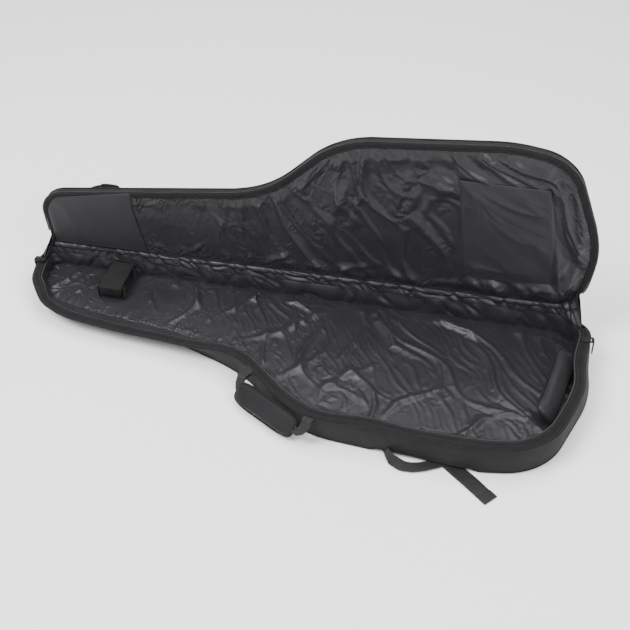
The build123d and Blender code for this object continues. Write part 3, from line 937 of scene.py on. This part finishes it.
piped("LidBackPiping", lid_line(20.9, 89.8), 2.1, "lid")
by_sliders = np.exp(-((LOOP[:, 1] - 138.0) / 22.0) ** 2)     # thinner where the lid closes on the sliders
piping = lid_line(21.6 + 1.4 * by_sliders, 73.9 + 1.8 * by_sliders)
piped("LidFacePiping", piping, 1.9 - 1.2 * by_sliders, "lid")
tape = [(22.0, 73.4), (24.0, 72.9), (26.5, 72.7), (29.0, 72.9), (31.2, 73.6)]
place(band("LidZipTape", "zip_tape", tape, stand, free=True, thick=0.9),
      "lid", "zip_tape", "lid_zip_tape")
lid_out = lid_line(-1.0, 80.0) - lid_line(0.0, 80.0)
place(coil("LidZipCoil", lid_line(19.2, 74.6)[FREE], lid_out[FREE], "zip_coil"),
      "lid", "zip_coil", "lid_zip_coil")
rows = [lid_line(distance, height)[FREE] for distance, height in ((23.8, 72.55), (28.8, 72.45))]
stitched("LidTapeStitches", rows, "lid", "binding")

# Outer shell of the lid
spread = panel_grid(inset(22.6), 260, 84)
x, y = spread[..., 0], spread[..., 1]
depth = edge_distance(x, y, inset(22.6))
height = 90.9 - 1.3 * np.exp(-depth / 5)
height += ripples(x, y, 150, 70, 40, 65) * 0.25 * np.clip(depth / 20, 0, 1)
shell = grid("LidShell", stand(np.dstack([x, y, height])), "outer_fabric")
place(shell, "lid", "outer_fabric", "lid_shell")

# Lining of the lid: loose satin, gathered by its seam, with long folds across the body
LID_FOLDS = [
    (((250, -118), (234, -95), (207, -57), (194, -8), (180, 60)), 13, -13),
    (((300, -110), (272, -80), (240, -20), (225, 30)), 14, 12),
    (((95, -72), (76, -20), (56, 50)), 11, 11),
    (((112, -60), (100, -10), (86, 50)), 8, -9),
    (((53, 50), (87, 105), (124, 160)), 9, 10),
    (((35, 80), (66, 140), (86, 205)), 9, -8),
    (((209, -10), (250, 41), (283, 84), (313, 176)), 11, 12),
    (((228, -20), (268, 30), (300, 80)), 8, -9),
    (((15, -20), (29, 49), (54, 100)), 12, -11),
    (((107, -14), (131, 27), (160, 76)), 7, 9),
    (((-70, 5), (-52, 53), (-28, 108)), 11, 7),
    (((-36, -5), (-18, 60), (6, 120)), 10, -8),
    (((-125, 38), (-108, 87), (-88, 140)), 10, 7),
    (((-196, 31), (-162, 90), (-140, 130)), 10, 6),
    (((-260, 60), (-236, 110), (-215, 150)), 9, 4),
    (((530, 60), (485, 119), (440, 182)), 10, 9),
    (((540, 95), (514, 141), (470, 188)), 8, 8),
    (((520, -60), (540, 0), (535, 50)), 8, 6),
    (((120, 100), (180, 150), (260, 185)), 10, 7),
    (((380, -160), (420, -130), (480, -120)), 8, 7),
    (((505, 172), (520, 150), (545, 100)), 6, 8),
    (((495, 172), (500, 140), (508, 95)), 6, -8),
    (((488, 172), (470, 150), (440, 120)), 7, 8),
    (((512, 174), (535, 160), (556, 130)), 5, -6),
    (((-250, 175), (-225, 150), (-190, 120)), 7, 6),
    (((-90, 175), (-60, 150), (-20, 130)), 7, 7),
    (((60, 175), (90, 150), (150, 135)), 7, 7),
    (((240, 176), (280, 158), (350, 150)), 7, 6),
]
HEAD_PATCH = (-350.0, -352.0, -330.0)       # x of its seam at y 30, 97 and 186
BRIDGE_PATCH = ((301.0, -99.0), (467.0, -97.0), (502.0, 133.0), (326.0, 138.0))
FACE_IN = 30.5 - 7.5 * AT_HINGE             # where the lining is sewn, closer to the hinge than to the zip
LINING_FACE = 75.4
PATCH_FACE = LINING_FACE - 3.6


def in_quad(x, y, quad, soft=8.0):
    """1 inside a four-sided patch, 0 outside."""
    result = np.ones(x.shape)
    quad = np.array(quad)
    for a, b in zip(quad, np.roll(quad, -1, 0)):
        run = (b - a) / np.linalg.norm(b - a)
        result = np.minimum(result, np.clip(0.5 + (run[0] * (y - a[1]) - run[1] * (x - a[0])) / soft, 0, 1))
    return result


def head_seam(y):
    """x of the head patch's seam."""
    return np.interp(y, (30, 97, 186), HEAD_PATCH)


columns, rows = 300, 84
face = panel_grid(inset(FACE_IN), columns, rows)
x, y = face[..., 0], face[..., 1]
depth = edge_distance(x, y, inset(FACE_IN))
patched = np.maximum(in_quad(x, y, BRIDGE_PATCH, 14), np.clip(0.5 + (head_seam(y) - x) / 12, 0, 1))
loose = np.clip(depth / 22, 0, 1) * (1 - patched)
broad = np.clip((x + 330) / 300, 0.4, 1)
gather_lid = gathers(81, 10.0)
shape = 1.0 + 2.5 * patched + folds(x, y, LID_FOLDS) * 0.6 * loose
shape += 8.0 * pleats(x, y, depth, gather_lid, 18) * (1 - patched)
shape += (16.0 * facets(x, y, 120, 63, 71, 5) + 1.0 * facets(x, y, 50, 58, 77)) * loose * broad
edge = border(x.shape)
shape[edge] = 0.4 + 2.2 * along_outline(x[edge], y[edge], gather_lid)
first = np.dstack([x, y, shape])
cut = np.dstack([x * 1.0035, y * 1.003, shape])
held = edge | (patched > 0.9)
plate = np.dstack([x, y, 0 * x - 2.0])[::6, ::6]
hang = settle(first, cut, held, plate)
hang = np.dstack([hang[..., 0], hang[..., 1], LINING_FACE - hang[..., 2]])
lid_lining = grid("LidLining", stand(hang[:, ::-1]), "lining")
lid_lining.modifiers.new("Subdivision", "SUBSURF").levels = 1
place(lid_lining, "lid", "lining", "lid_lining")
seam = lid_line(FACE_IN + 1.0 + gather_lid, 74.2 - 1.6 * gather_lid)
piped("LidSeam", seam, 1.0 + 0.4 * gather_lid, "lid", "lining")


def cloth_patch(name, quad, columns, rows, proud):
    """Flat cloth sewn on the lid's lining, between four corners, with its edges turned under."""
    quad = np.array(quad, float)
    u, v = np.meshgrid(np.linspace(0, 1, columns), np.linspace(0, 1, rows), indexing="ij")
    u3, v3 = u[..., None], v[..., None]
    flat = (1 - v3) * ((1 - u3) * quad[0] + u3 * quad[1]) + v3 * ((1 - u3) * quad[3] + u3 * quad[2])
    rim_close = np.minimum(np.minimum(u, 1 - u) * columns, np.minimum(v, 1 - v) * rows)
    inner = np.clip(rim_close / 9, 0, 1)
    soft = 1.2 + ripples(flat[..., 0], flat[..., 1], 95, 62, 20, 91) * 1.2
    lift = proud * (1 - np.exp(-rim_close / 1.2)) + inner * np.maximum(soft, 0)
    lift += 6.0 * inner * facets(flat[..., 0], flat[..., 1], 80, 50, 95)
    points = np.dstack([flat[..., 0], flat[..., 1], PATCH_FACE - lift])
    obj = grid(name, stand(points[:, ::-1]), "patch_fabric", thick=0.7)
    place(obj, "lid", "patch_fabric", "bridge_patch")
    return points


bridge = cloth_patch("BridgePatch", BRIDGE_PATCH, 60, 70, 0.3)
seams = []
for gap in (2, 5):
    seams += [bridge[gap, 2:-2], bridge[-1 - gap, 2:-2]]
seams += [bridge[2:-2, 2], bridge[2:-2, -3]]
seams = [stand(line - [0, 0, 0.5]) for line in seams]
stitched("BridgePatchStitches", seams, "lid", "patch_fabric")

across, up = np.meshgrid(np.linspace(0, 1, 80), np.linspace(0, 1, 60), indexing="ij")
flat = panel(inset(FACE_IN + 0.6), across * 0.262, up)
stretch = (head_seam(flat[0, :, 1]) - flat[0, :, 0]) / (flat[-1, :, 0] - flat[0, :, 0])
flat[..., 0] = flat[0, :, 0] + (flat[..., 0] - flat[0, :, 0]) * stretch
rim_close = np.minimum(np.minimum(across, 1 - across) * 80, np.minimum(up, 1 - up) * 60)
lift = 0.9 * (1 - np.exp(-rim_close / 1.5))
lift += np.clip(rim_close / 9, 0, 1) * 2.4 * facets(flat[..., 0], flat[..., 1], 95, 40, 93)
head = np.dstack([flat, PATCH_FACE - lift])
place(grid("HeadPatch", stand(head[:, ::-1]), "patch_fabric", thick=0.7),
      "lid", "patch_fabric", "head_patch")
seams = [head[-3, 2:-2], head[-6, 2:-2], head[2:-2, 2], head[2:-2, -3]]
seams = [stand(line - [0, 0, 0.5]) for line in seams]
stitched("HeadPatchStitches", seams, "lid", "patch_fabric")

# ---- fabric hinge ---------------------------------------------------------------------------------
def far_side(line, low=152.0):
    """The stretch of a line along the hinge side, round both far corners."""
    half = LOOP_POINTS // 2
    return np.roll(line, half, axis=0)[np.roll(LOOP[:, 1], half) > low]


def hinge_cloth(name, look, slot, guides, wrinkle, bulge, *nodes):
    """Cloth from the base to the lid through guide lines, each given with its share of the way up."""
    shares = np.array([share for share, _ in guides])
    lines = np.stack([far_side(line) for _, line in guides])
    t = np.linspace(0, 1, 30)
    points = [[np.interp(t, shares, lines[:, i, k]) for i in range(lines.shape[1])] for k in range(3)]
    points = np.stack(points, -1)
    arc = np.arange(len(points))[:, None] * (ARC[1] - ARC[0]) * np.ones((1, 30))
    level = t[None] * 40 * np.ones((len(points), 1))
    middle = np.sin(np.pi * t)[None]
    push = wrinkle * facets(arc, level, 38, 60, 101) * middle ** 0.35 + bulge(t)[None]
    points[..., :2] -= far_side(OUT)[:, None] * push[..., None]
    obj = grid(name, points, look, thick=0.8)
    bend(obj, points, slot, *nodes)
    return points


def bend(obj, cloth, slot, *nodes):
    """Bake a piece's placement into its mesh and hide the CAD nodes it stands for."""
    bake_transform(obj)
    if nodes:
        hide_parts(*nodes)


def rolled(t):
    """The soft roll under the lid's seam."""
    return 2.2 * np.sin(np.pi * np.clip((t - 0.6) / 0.4, 0, 1)) + 2.0 * np.sin(np.pi * t)


guides = [(0.0, lean_line(17.0, 60.0)), (0.3, lean_line(14.0, 70.5)), (1.0, lid_line(FACE_IN - 0.5, 73.8))]
inner = hinge_cloth("HingeLining", "lining", "lining", guides, -6.0, rolled)
seam = inner[:, 20] - [0, 1.0, 0]
bend(tube("HingeSeam", seam, 1.1, "binding"), inner, "lining")
bend(sew("HingeStitches", [seam - [0, 1.2, -3.2]], "thread", pitch=4.6), inner, "lining")
curl = np.clip((180.0 - LOOP[:, 1]) / 24.0, 0, 1)      # both ends curl in and close the hinge
guides = [
    (0.0, lean_line(-0.9 + 17.0 * curl, 57.0 + 11.0 * curl)),
    (0.35, lean_line(-1.8 + 16.0 * curl, 68.0 + 3.0 * curl)),
    (0.8, lid_line(19.2 + 8.0 * curl, 83.0 - 9.0 * curl)),
    (1.0, lid_line(21.0 + 9.0 * curl, 89.6 - 15.6 * curl)),
]


def bowed(t):
    """The outer cloth bows outwards a little."""
    return -2.5 * np.sin(np.pi * t)


hinge_cloth("HingeOuter", "binding", "binding", guides, 0.0, bowed, "hinge_strip")


# ---- padded pieces --------------------------------------------------------------------------------
def oblong(length, width, corner, sides=112):
    """Oblong with rounded corners, squarer where corner is larger."""
    turn = np.linspace(0, 2 * math.pi, sides, endpoint=False)
    c, s = np.cos(turn), np.sin(turn)
    return np.column_stack([length / 2 * np.sign(c) * abs(c) ** (2 / corner),
                            width / 2 * np.sign(s) * abs(s) ** (2 / corner)])


def on_frame(flat, frame_of, height=0.0):
    """Flat points laid in a frame: its origin, its x direction and its y direction."""
    origin, x_dir, y_dir = (np.array(v, float) for v in frame_of)
    x_dir = x_dir / np.linalg.norm(x_dir)
    y_dir = y_dir / np.linalg.norm(y_dir)
    return origin + flat[..., :1] * x_dir + flat[..., 1:2] * y_dir + height * np.cross(x_dir, y_dir)


def pillow(name, look, length, width, thick, frame_of, corner=5.0, edge=0.35, crown=2.6):
    """Closed padded form with a rounded oblong outline, crowned on both faces."""
    outline = oblong(length, width, corner)
    sides = len(outline)
    upper = np.sin(np.linspace(0, math.pi / 2, 26))
    points = []
    for face, reach in ((1, upper), (-1, upper[::-1])):
        for r in reach:
            high = edge + (1 - edge) * (1 - r ** crown) ** 0.6 if r < 0.999 else edge * 0.5
            flat = outline * max(r, 0.012)
            points.append(np.column_stack([flat, np.full(sides, face * thick / 2 * high)]))
    local = np.array(points)
    world = on_frame(local, frame_of, local[..., 2:])
    count = len(world)
    index = np.arange(count * sides).reshape(count, sides)
    faces, texture = [], []
    for i in range(count - 1):
        for k in range(sides):
            m = (k + 1) % sides
            faces.append((int(index[i, k]), int(index[i + 1, k]), int(index[i + 1, m]), int(index[i, m])))
            texture += [local[i, k, :2], local[i + 1, k, :2], local[i + 1, m, :2], local[i, m, :2]]
    for ring, order in ((0, 1), (count - 1, -1)):
        around_ring = list(range(sides))[::order]
        faces.append(tuple(int(index[ring, k]) for k in around_ring))
        texture += [local[ring, k, :2] for k in around_ring]
    return mesh(name, world.reshape(-1, 3), faces, look, np.array(texture) * MM)


# Carry handle: a padded wrap on a loop of webbing, hanging down outside the waist
PIVOT = np.array([[-64.0, -95.0, 54.0], [102.0, -195.0, 54.0]])
DROOP = math.radians(55)
pivot_dir = (PIVOT[1] - PIVOT[0]) / np.linalg.norm(PIVOT[1] - PIVOT[0])
pivot_mid = PIVOT.mean(0)
pivot_half = np.linalg.norm(PIVOT[1] - PIVOT[0]) / 2
level = np.array([pivot_dir[1], -pivot_dir[0], 0])
hang_dir = level * math.cos(DROOP) - np.array([0, 0, math.sin(DROOP)])
face_dir = np.cross(pivot_dir, hang_dir)


def by_handle(along, out, face=0.0):
    """A spot on the hanging handle: along the pivot line, out from it, and off its face."""
    return pivot_mid + pivot_dir * along + hang_dir * out + face_dir * face


grip_frame = (by_handle(-9, 29.5, 1.0), pivot_dir, hang_dir)
grip = pillow("grip", "outer_fabric", 150, 48, 13, grip_frame, corner=4.4)
grip = puff("HandleGrip", grip, "outer_fabric", voxel=3.0, pressure=5.0, cap=3.0)
place(grip, "carry_handle", "outer_fabric", "handle_grip")
edge_line = on_frame(oblong(148.5, 46.5, 4.4), grip_frame)
piped("HandleGripBinding", edge_line, 1.7, "carry_handle")
rows = [on_frame(oblong(138, 37, 4.2), grip_frame, lift) for lift in (7.0, -7.0)]
stitched("HandleGripStitches", rows, "carry_handle", "outer_fabric")
END_NAMES = {-1: "Head", 1: "Tail"}
for side in END_NAMES:
    edge_at = side * (pivot_half - 13)
    line = [(1, -1.5, 2.6), (1, -3.4, 0.0), (1, -1.5, -2.6), (1, 1.5, -2.4), (1, 4.0, 0.2),
            (1, 9, 0.8), (0.98, 18, 0.2), (0.92, 28, 0.0), (0.80, 36, -0.4)]
    line = even(np.array([by_handle(edge_at * share, out, face) for share, out, face in line]), 44)
    webbed("HandleWebbing" + END_NAMES[side], line, pivot_dir, 20.0, 2.0, "carry_handle")
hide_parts("handle_webbing")
for side in END_NAMES:
    end = pivot_mid + pivot_dir * side * (pivot_half - 13)
    line = [(-30, 3.5), (-14, 3.4), (-3, 3.2), (2.6, 1.6), (3.4, -0.6), (1.6, -3.2), (-4, -3.4), (-16, -3.5)]
    line = even(np.array([end + level * out + [0, 0, up] for out, up in line]), 40)
    nodes = ["handle_anchors"] if side < 0 else []
    webbed("HandleAnchor" + END_NAMES[side], line, pivot_dir, 20.0, 1.8, "base", *nodes)

# End guard: a padded flap that stops the end of the instrument
guard_frame = ((527.0, 6.0, 41.5), (0.19, 0.98, 0.0), (-0.72, 0.14, 0.69))
guard = pillow("guard", "patch_fabric", 178, 52, 15, guard_frame, corner=9.0, edge=0.6, crown=5)
guard = puff("EndGuard", guard, "patch_fabric", voxel=4.0, pressure=4.0, cap=4.0)
place(guard, "base", "outer_fabric", "end_guard")
edge_line = on_frame(oblong(177.5, 51.5, 9.0), guard_frame)
piped("EndGuardBinding", edge_line, 1.6, "base")
rows = [on_frame(oblong(169, 44, 8.0), guard_frame, 8.0)]
stitched("EndGuardStitches", rows, "base", "patch_fabric")

# Neck rest: a soft block with a slot, and the strap that closes over it
REST_X, REST_Y, REST_LONG, REST_TOP = -384.0, 131.0, 54.0, 54.0
half = [(-39.0, BACK_TOP), (-39.6, 38.0), (-38.4, 50.0), (-35.0, REST_TOP - 0.5), (-29.0, REST_TOP),
        (-25.0, 51.0), (-24.0, 42.0), (-22.5, 34.0), (-16.0, 31.2)]      # half its section, across and up
section = half + [(0.0, 30.6)] + [(-across, up) for across, up in half[::-1]]
section = even(np.array(section) + [REST_Y, 0], 90)
inward = np.stack([np.gradient(section[:, 1]), -np.gradient(section[:, 0])], 1)
inward /= np.linalg.norm(inward, axis=1)[:, None]
rings = [(0.0, 0.80), (-0.5, 0.93), (1.2, 0.985), (5.0, 1.0), (16.0, 1.004)]    # distance from an end, size
rings = [(gap - REST_LONG / 2, size) for gap, size in rings]
points = []
for along, size in rings + [(0.0, 1.006)] + [(-along, size) for along, size in rings[::-1]]:
    ring = section + inward * -(1 - size) * 14
    ring[:, 1] = np.maximum(ring[:, 1], BACK_TOP)
    points.append(np.column_stack([np.full(90, REST_X + along), ring]))
block = grid("NeckRest", np.array(points), "outer_fabric")
place(block, "base", "outer_fabric", "neck_rest")
block.modifiers.new("Subdivision", "SUBSURF").levels = 1
bottom = np.column_stack([np.linspace(section[0, 0], section[-1, 0], 90), np.full(90, BACK_TOP)])
steps = np.linspace(0, 1, 9)[:, None, None]
cap = bottom[None] * (1 - steps) + section[None] * steps
cap[..., 1] = np.maximum(cap[..., 1] - 1.6 * (cap[..., 1] > BACK_TOP + 2), BACK_TOP)
for side in END_NAMES:
    x_at = np.full(cap.shape[:2] + (1,), REST_X + side * (REST_LONG / 2 - 0.8))
    end = np.concatenate([x_at, cap], 2)[::-side]
    place(grid("NeckRestEnd" + END_NAMES[side], end, "outer_fabric"), "base", "outer_fabric")

ACROSS_STRAP = (1.0, 0.0, 0.0)
strap_line = [(173.4, 40.0), (173.4, 50.0), (172.3, 54.0), (168.5, 56.2), (160, 56.4), (145, 55.4),
              (131, 54.9), (117, 55.4), (100, 56.4), (92.5, 56.0), (88.9, 53.6), (88.0, 49.0), (87.9, 37.0)]
line = even(np.array([(REST_X, y, z) for y, z in strap_line]), 90)
moving = line[line[:, 1] <= 172.6]
webbed("NeckStrap", moving, ACROSS_STRAP, 46.0, 2.0, "neck_strap", "neck_strap", look="binding")
edge_line = np.vstack([moving[::2] + [-23, 0, 0.2], moving[::-2] + [23, 0, 0.2]])
place(tube("NeckStrapBinding", edge_line, 0.9, "binding"), "neck_strap", "binding")
webbed("NeckStrapAnchor", line[line[:, 1] > 172.0], ACROSS_STRAP, 46.0, 1.8, "base", "neck_strap_anchor")
patch_line = even(np.array([(REST_X, 90.9, 51.0), (REST_X, 90.7, 44.0), (REST_X, 90.8, 37.0)]), 8)
pile = ribbon("NeckStrapPile", patch_line, ACROSS_STRAP, 44.0, 1.6, "hook_and_loop")
place(pile, "base", "hook_and_loop", "neck_strap_hook_patch")

# ---- shoulder straps under the back ---------------------------------------------------------------
def heading_of(turn):
    """Level direction at an angle in degrees."""
    return np.array([math.cos(math.radians(turn)), math.sin(math.radians(turn)), 0])


for side, (near_end, far_end) in PADS.items():
    lock = LOCKS[side]
    a, b = np.array([*near_end, 6.1]), np.array([*far_end, 6.1])
    run = (b - a) / np.linalg.norm(b - a)
    a = a + run * 2
    b = b + run * 30
    long = np.linalg.norm(b - a)
    frame_of = ((a + b) / 2, run, np.cross([0, 0, 1.0], run))
    pad = pillow(f"ShoulderPad_{side}", "outer_fabric", long, 62, 10.6, frame_of, edge=0.55, crown=6)
    place(pad, "base", "outer_fabric", f"shoulder_pad_{side}")
    trim = on_frame(oblong(long + 1.5, 63.5, 5.0), frame_of)
    piped(f"ShoulderPadBinding_{side}", trim, 1.8, "base")
    lock_turn = math.degrees(math.atan2(lock[1] - far_end[1], lock[0] - far_end[0]))
    ends = [away(far_end, lock_turn, 30), away(lock, lock_turn, -10)]
    line = even(np.array([(*ends[0], 7.2), (*ends[1], 8.6)]), 20)
    sideways = np.cross([0, 0, 1.0], heading_of(lock_turn))
    webbed(f"PadWebbing_{side}", line, sideways, 26.0, 2.0, "base", f"pad_webbing_{side}")
    heading = heading_of(TAIL_TURN[side])
    tail = f"strap_tail_{side}"
    tail_box = 252.0 if side == "right" else 56.0
    inside_box = 55.0 if side == "right" else 20.0
    line = []
    for reach in np.linspace(-inside_box, tail_box, 80):
        rise = 1.4 + (1.3 * math.exp(-((reach - 205) / 26) ** 2) if side == "right" else 0)
        line.append(np.array([*lock, rise]) + heading * reach)
    lateral = np.array([-heading[1], heading[0], 0])
    webbed(f"StrapTail_{side}", line, lateral, 29.6, 1.9, tail, tail)
    end = line[-1]
    hem = [end + heading * reach + [0, 0, up] for reach, up in ((-17, 1.7), (-0.5, 1.6), (1.0, 0.4))]
    webbed(f"StrapHem_{side}", even(np.array(hem), 16), lateral, 29.8, 1.8, tail)
    row = lateral * np.linspace(-13, 13, 16)[:, None] + [0, 0, 2.8]
    rows = [end - heading * gap + row for gap in (3.5, 14.0)]
    stitched(f"StrapHemStitches_{side}", rows, tail, "webbing")

slack = [(240, -122), (238, -150), (235, -174), (238, -195), (250, -210), (268, -217), (288, -216),
         (306, -210), (325, -200), (345, -188)]
line = even(np.array(slack, float), 90)
share = np.linspace(0, 1, 90)
twist = np.radians(np.interp(share, (0, 0.24, 0.37, 0.48, 0.62, 1.0), (0, 12, 76, 52, 12, 0)))
run = np.gradient(line, axis=0)
run /= np.linalg.norm(run, axis=1)[:, None]
lateral = np.column_stack([-run[:, 1], run[:, 0], np.zeros(90)])
sideways = lateral * np.cos(twist)[:, None] + np.array([0, 0, 1.0]) * np.sin(twist)[:, None]
rise = 4.0 + 8.2 * np.sin(twist)
line = np.column_stack([line, rise])
webbed("LowerWebbing_right", line, sideways, 20.0, 1.8, "base", "lower_webbing_right")
LOWER_TURN = 15.0
ends = [away(LOCKS["left"], LOWER_TURN, reach) for reach in (26, 84)]
line = even(np.array([(*ends[0], 3.9), (*ends[1], 3.9)]), 14)
lateral = np.cross([0, 0, 1.0], heading_of(LOWER_TURN))
webbed("LowerWebbing_left", line, lateral, 26.0, 2.0, "base", "lower_webbing_left")
line = even(np.array([(-227.0, 62.0, 5.0), (-227.0, 140.0, 5.0)]), 20)
webbed("StrapYoke", line, (1.0, 0.0, 0.0), 14.0, 7.5, "base", "strap_yoke", look="outer_fabric")

# ---- outside of the lid: pocket and grab handle ---------------------------------------------------
POCKET_MIDDLE, POCKET_LONG, POCKET_WIDE = (310.0, 5.0), 320.0, 250.0
POCKET_SIDES = 260
pocket_edge = oblong(POCKET_LONG, POCKET_WIDE, 9.0, POCKET_SIDES)


def pocket_ring(size, height):
    """The pocket's outline at a size, as a share of its own, and a height over the closed lid."""
    return np.column_stack([pocket_edge * size + POCKET_MIDDLE, height * np.ones(POCKET_SIDES)])


gusset = [(91.2, 1.2), (92.2, 0.2), (95.0, 0.6), (98.0, 0.9), (101.0, 0.5), (103.2, -0.4)]    # height, growth
gusset = np.stack([pocket_ring(1 + grow * 2 / POCKET_LONG, height) for height, grow in gusset], 1)
place(grid("PocketGusset", stand(gusset), "outer_fabric", around=True),
      "lid", "outer_fabric", "pocket_gusset")
levels = []
for reach in np.linspace(1, 0.02, 44):
    level = pocket_ring(reach, 103.6 + 2.3 * (1 - reach ** 7) ** 0.7)
    level[:, 2] += ripples(level[:, 0], level[:, 1], 120, 50, 40, 111) * 0.35 * (1 - reach ** 6)
    levels.append(level)
front = grid("PocketPanel", stand(np.stack(levels, 1)), "outer_fabric", around=True)
place(front, "lid", "outer_fabric", "pocket_panel")
middle_face = [tuple(range(POCKET_SIDES - 1, -1, -1))]
place(mesh("PocketPanelMiddle", stand(levels[-1]), middle_face, "outer_fabric"), "lid", "outer_fabric")
for name, height, grow in (("PocketPipingTop", 103.6, 0.2), ("PocketPipingLow", 91.9, 1.0)):
    piping = stand(pocket_ring(1 + grow * 2 / POCKET_LONG, height))
    piped(name, piping, 1.6, "lid")
stitched("PocketStitches", [stand(pocket_ring(0.955, 105.5))], "lid", "outer_fabric")
zip_x = POCKET_MIDDLE[0] - POCKET_LONG / 2 + 32
zip_y = POCKET_MIDDLE[1] + (POCKET_WIDE / 2 - 16) * np.linspace(-1, 1, 80)
zip_tapes = [("PocketZipTapeA", -12.0, -1.6, ["pocket_zip_tape"]), ("PocketZipTapeB", 1.6, 12.0, [])]
for name, low, high, nodes in zip_tapes:
    across = np.linspace(low, high, 6)
    points = np.zeros((80, 6, 3))
    points[..., 0] = zip_x + across[None]
    points[..., 1] = zip_y[:, None]
    points[..., 2] = 106.6 + 0.3 * np.cos(across / 12 * 3.1)[None]
    place(grid(name, stand(points), "zip_tape", thick=0.7), "lid", "zip_tape", *nodes)
line = stand(np.column_stack([np.full(80, zip_x), zip_y, np.full(80, 107.0)]))
side_dir = np.tile(stand([[1.0, 0, 0]]) - stand([[0.0, 0, 0]]), (80, 1))
pocket_coil = coil("PocketZipCoil", line, side_dir, "zip_coil", pitch=2.0)
place(pocket_coil, "lid", "zip_coil", "pocket_zip_coil")

GRAB_X, GRAB_Y = (-453.0, -373.0), 62.0
centre_x = (GRAB_X[0] + GRAB_X[1]) / 2
xs = np.linspace(-1, 1, 60)
arch = np.column_stack([centre_x + 44.0 * xs, np.full(60, GRAB_Y), 94.6 + 23.4 * (1 - abs(xs) ** 2.4)])
across_dir = stand([[0.0, 1.0, 0]]) - stand([[0.0, 0, 0]])
webbed("GrabHandle", stand(arch), across_dir, 36.0, 2.6, "lid", "grab_handle")
wrap = stand(arch[17:43] + [0, 0, 0.5])
webbed("GrabHandleWrap", wrap, across_dir, 37.6, 5.0, "lid", look="outer_fabric")
box = even(np.array([(-8, -15), (8, -15), (8, 15), (-8, 15), (-8, -15), (8, 15)], float), 60)
rows = []
for number, x_at, nodes in ((1, GRAB_X[0], ["grab_anchors"]), (2, GRAB_X[1], [])):
    foot = np.column_stack([np.linspace(x_at - 12, x_at + 12, 12), np.full(12, GRAB_Y), np.full(12, 92.6)])
    webbed(f"GrabAnchor{number}", stand(foot), across_dir, 38.0, 2.0, "lid", *nodes)
    rows.append(stand(np.column_stack([box + [x_at, GRAB_Y], np.full(60, 94.0)])))
stitched("GrabAnchorStitches", rows, "lid", "webbing")

# ---- hard pieces that keep their CAD shape --------------------------------------------------------
HARD = {
    "black_metal": ("zip_slider_head", "zip_slider_tail", "zip_pull_head", "zip_pull_tail",
                    "pocket_slider", "pocket_pull", "zip_stops"),
    "buckle_plastic": ("ladder_lock_right", "ladder_lock_left"),
}
for look, nodes in HARD.items():
    for node in nodes:
        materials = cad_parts[node].data.materials
        materials.clear()
        materials.append(LOOKS[look])

# ---- room -----------------------------------------------------------------------------------------
floor_look = bpy.data.materials.new("floor")
floor_look.use_nodes = True
shader = floor_look.node_tree.nodes["Principled BSDF"]
shader.inputs["Base Color"].default_value = (0.86, 0.86, 0.86, 1)
shader.inputs["Roughness"].default_value = 0.9
shader.inputs["Specular IOR Level"].default_value = 0.1
sweep = [(-4.0, 0.0), (4.0, 0.0), (5.2, 0.15), (6.0, 0.8), (6.3, 2.0), (6.3, 6.0)]
profile = even(np.array(sweep) / MM, 60)
floor = [np.column_stack([np.full(60, x), profile]) for x in np.linspace(-8.0, 8.0, 3) / MM]
LOOKS["floor"] = floor_look
floor = grid("Floor", np.stack(floor), "floor")

world = bpy.data.worlds.new("studio")
bpy.context.scene.world = world
world.use_nodes = True
world.node_tree.nodes["Background"].inputs["Color"].default_value = (1, 1, 1, 1)
world.node_tree.nodes["Background"].inputs["Strength"].default_value = 0.55


def soft_light(name, at, target, size, watts):
    """Area light that points at a spot."""
    data = bpy.data.lights.new(name, "AREA")
    data.energy = watts
    data.size = size
    lamp = bpy.data.objects.new(name, data)
    bpy.context.scene.collection.objects.link(lamp)
    lamp.location = at
    aim = np.array(target) - np.array(at)
    lamp.rotation_euler = Vector(aim.tolist()).to_track_quat("-Z", "Y").to_euler()


soft_light("key", (-1.5, -1.2, 3.0), (0, 0, 0.1), 1.6, 170)
soft_light("fill", (1.8, -1.6, 2.2), (0, 0.1, 0.2), 2.0, 90)
soft_light("top", (0.2, 1.0, 3.4), (0, 0, 0), 2.6, 130)

# ---- camera ---------------------------------------------------------------------------------------
CAMERA_LENS = 62.56
CAMERA_AT = (0.38674, -1.50671, 1.4993)
LOOKS_DOWN, TURNED = 41.42, 12.05      # degrees

camera_data = bpy.data.cameras.new("camera")
camera_data.sensor_width = 36
camera_data.lens = CAMERA_LENS
camera = bpy.data.objects.new("camera", camera_data)
bpy.context.scene.collection.objects.link(camera)
camera.location = CAMERA_AT
camera.rotation_euler = (math.radians(90 - LOOKS_DOWN), 0, math.radians(TURNED))
bpy.context.scene.camera = camera
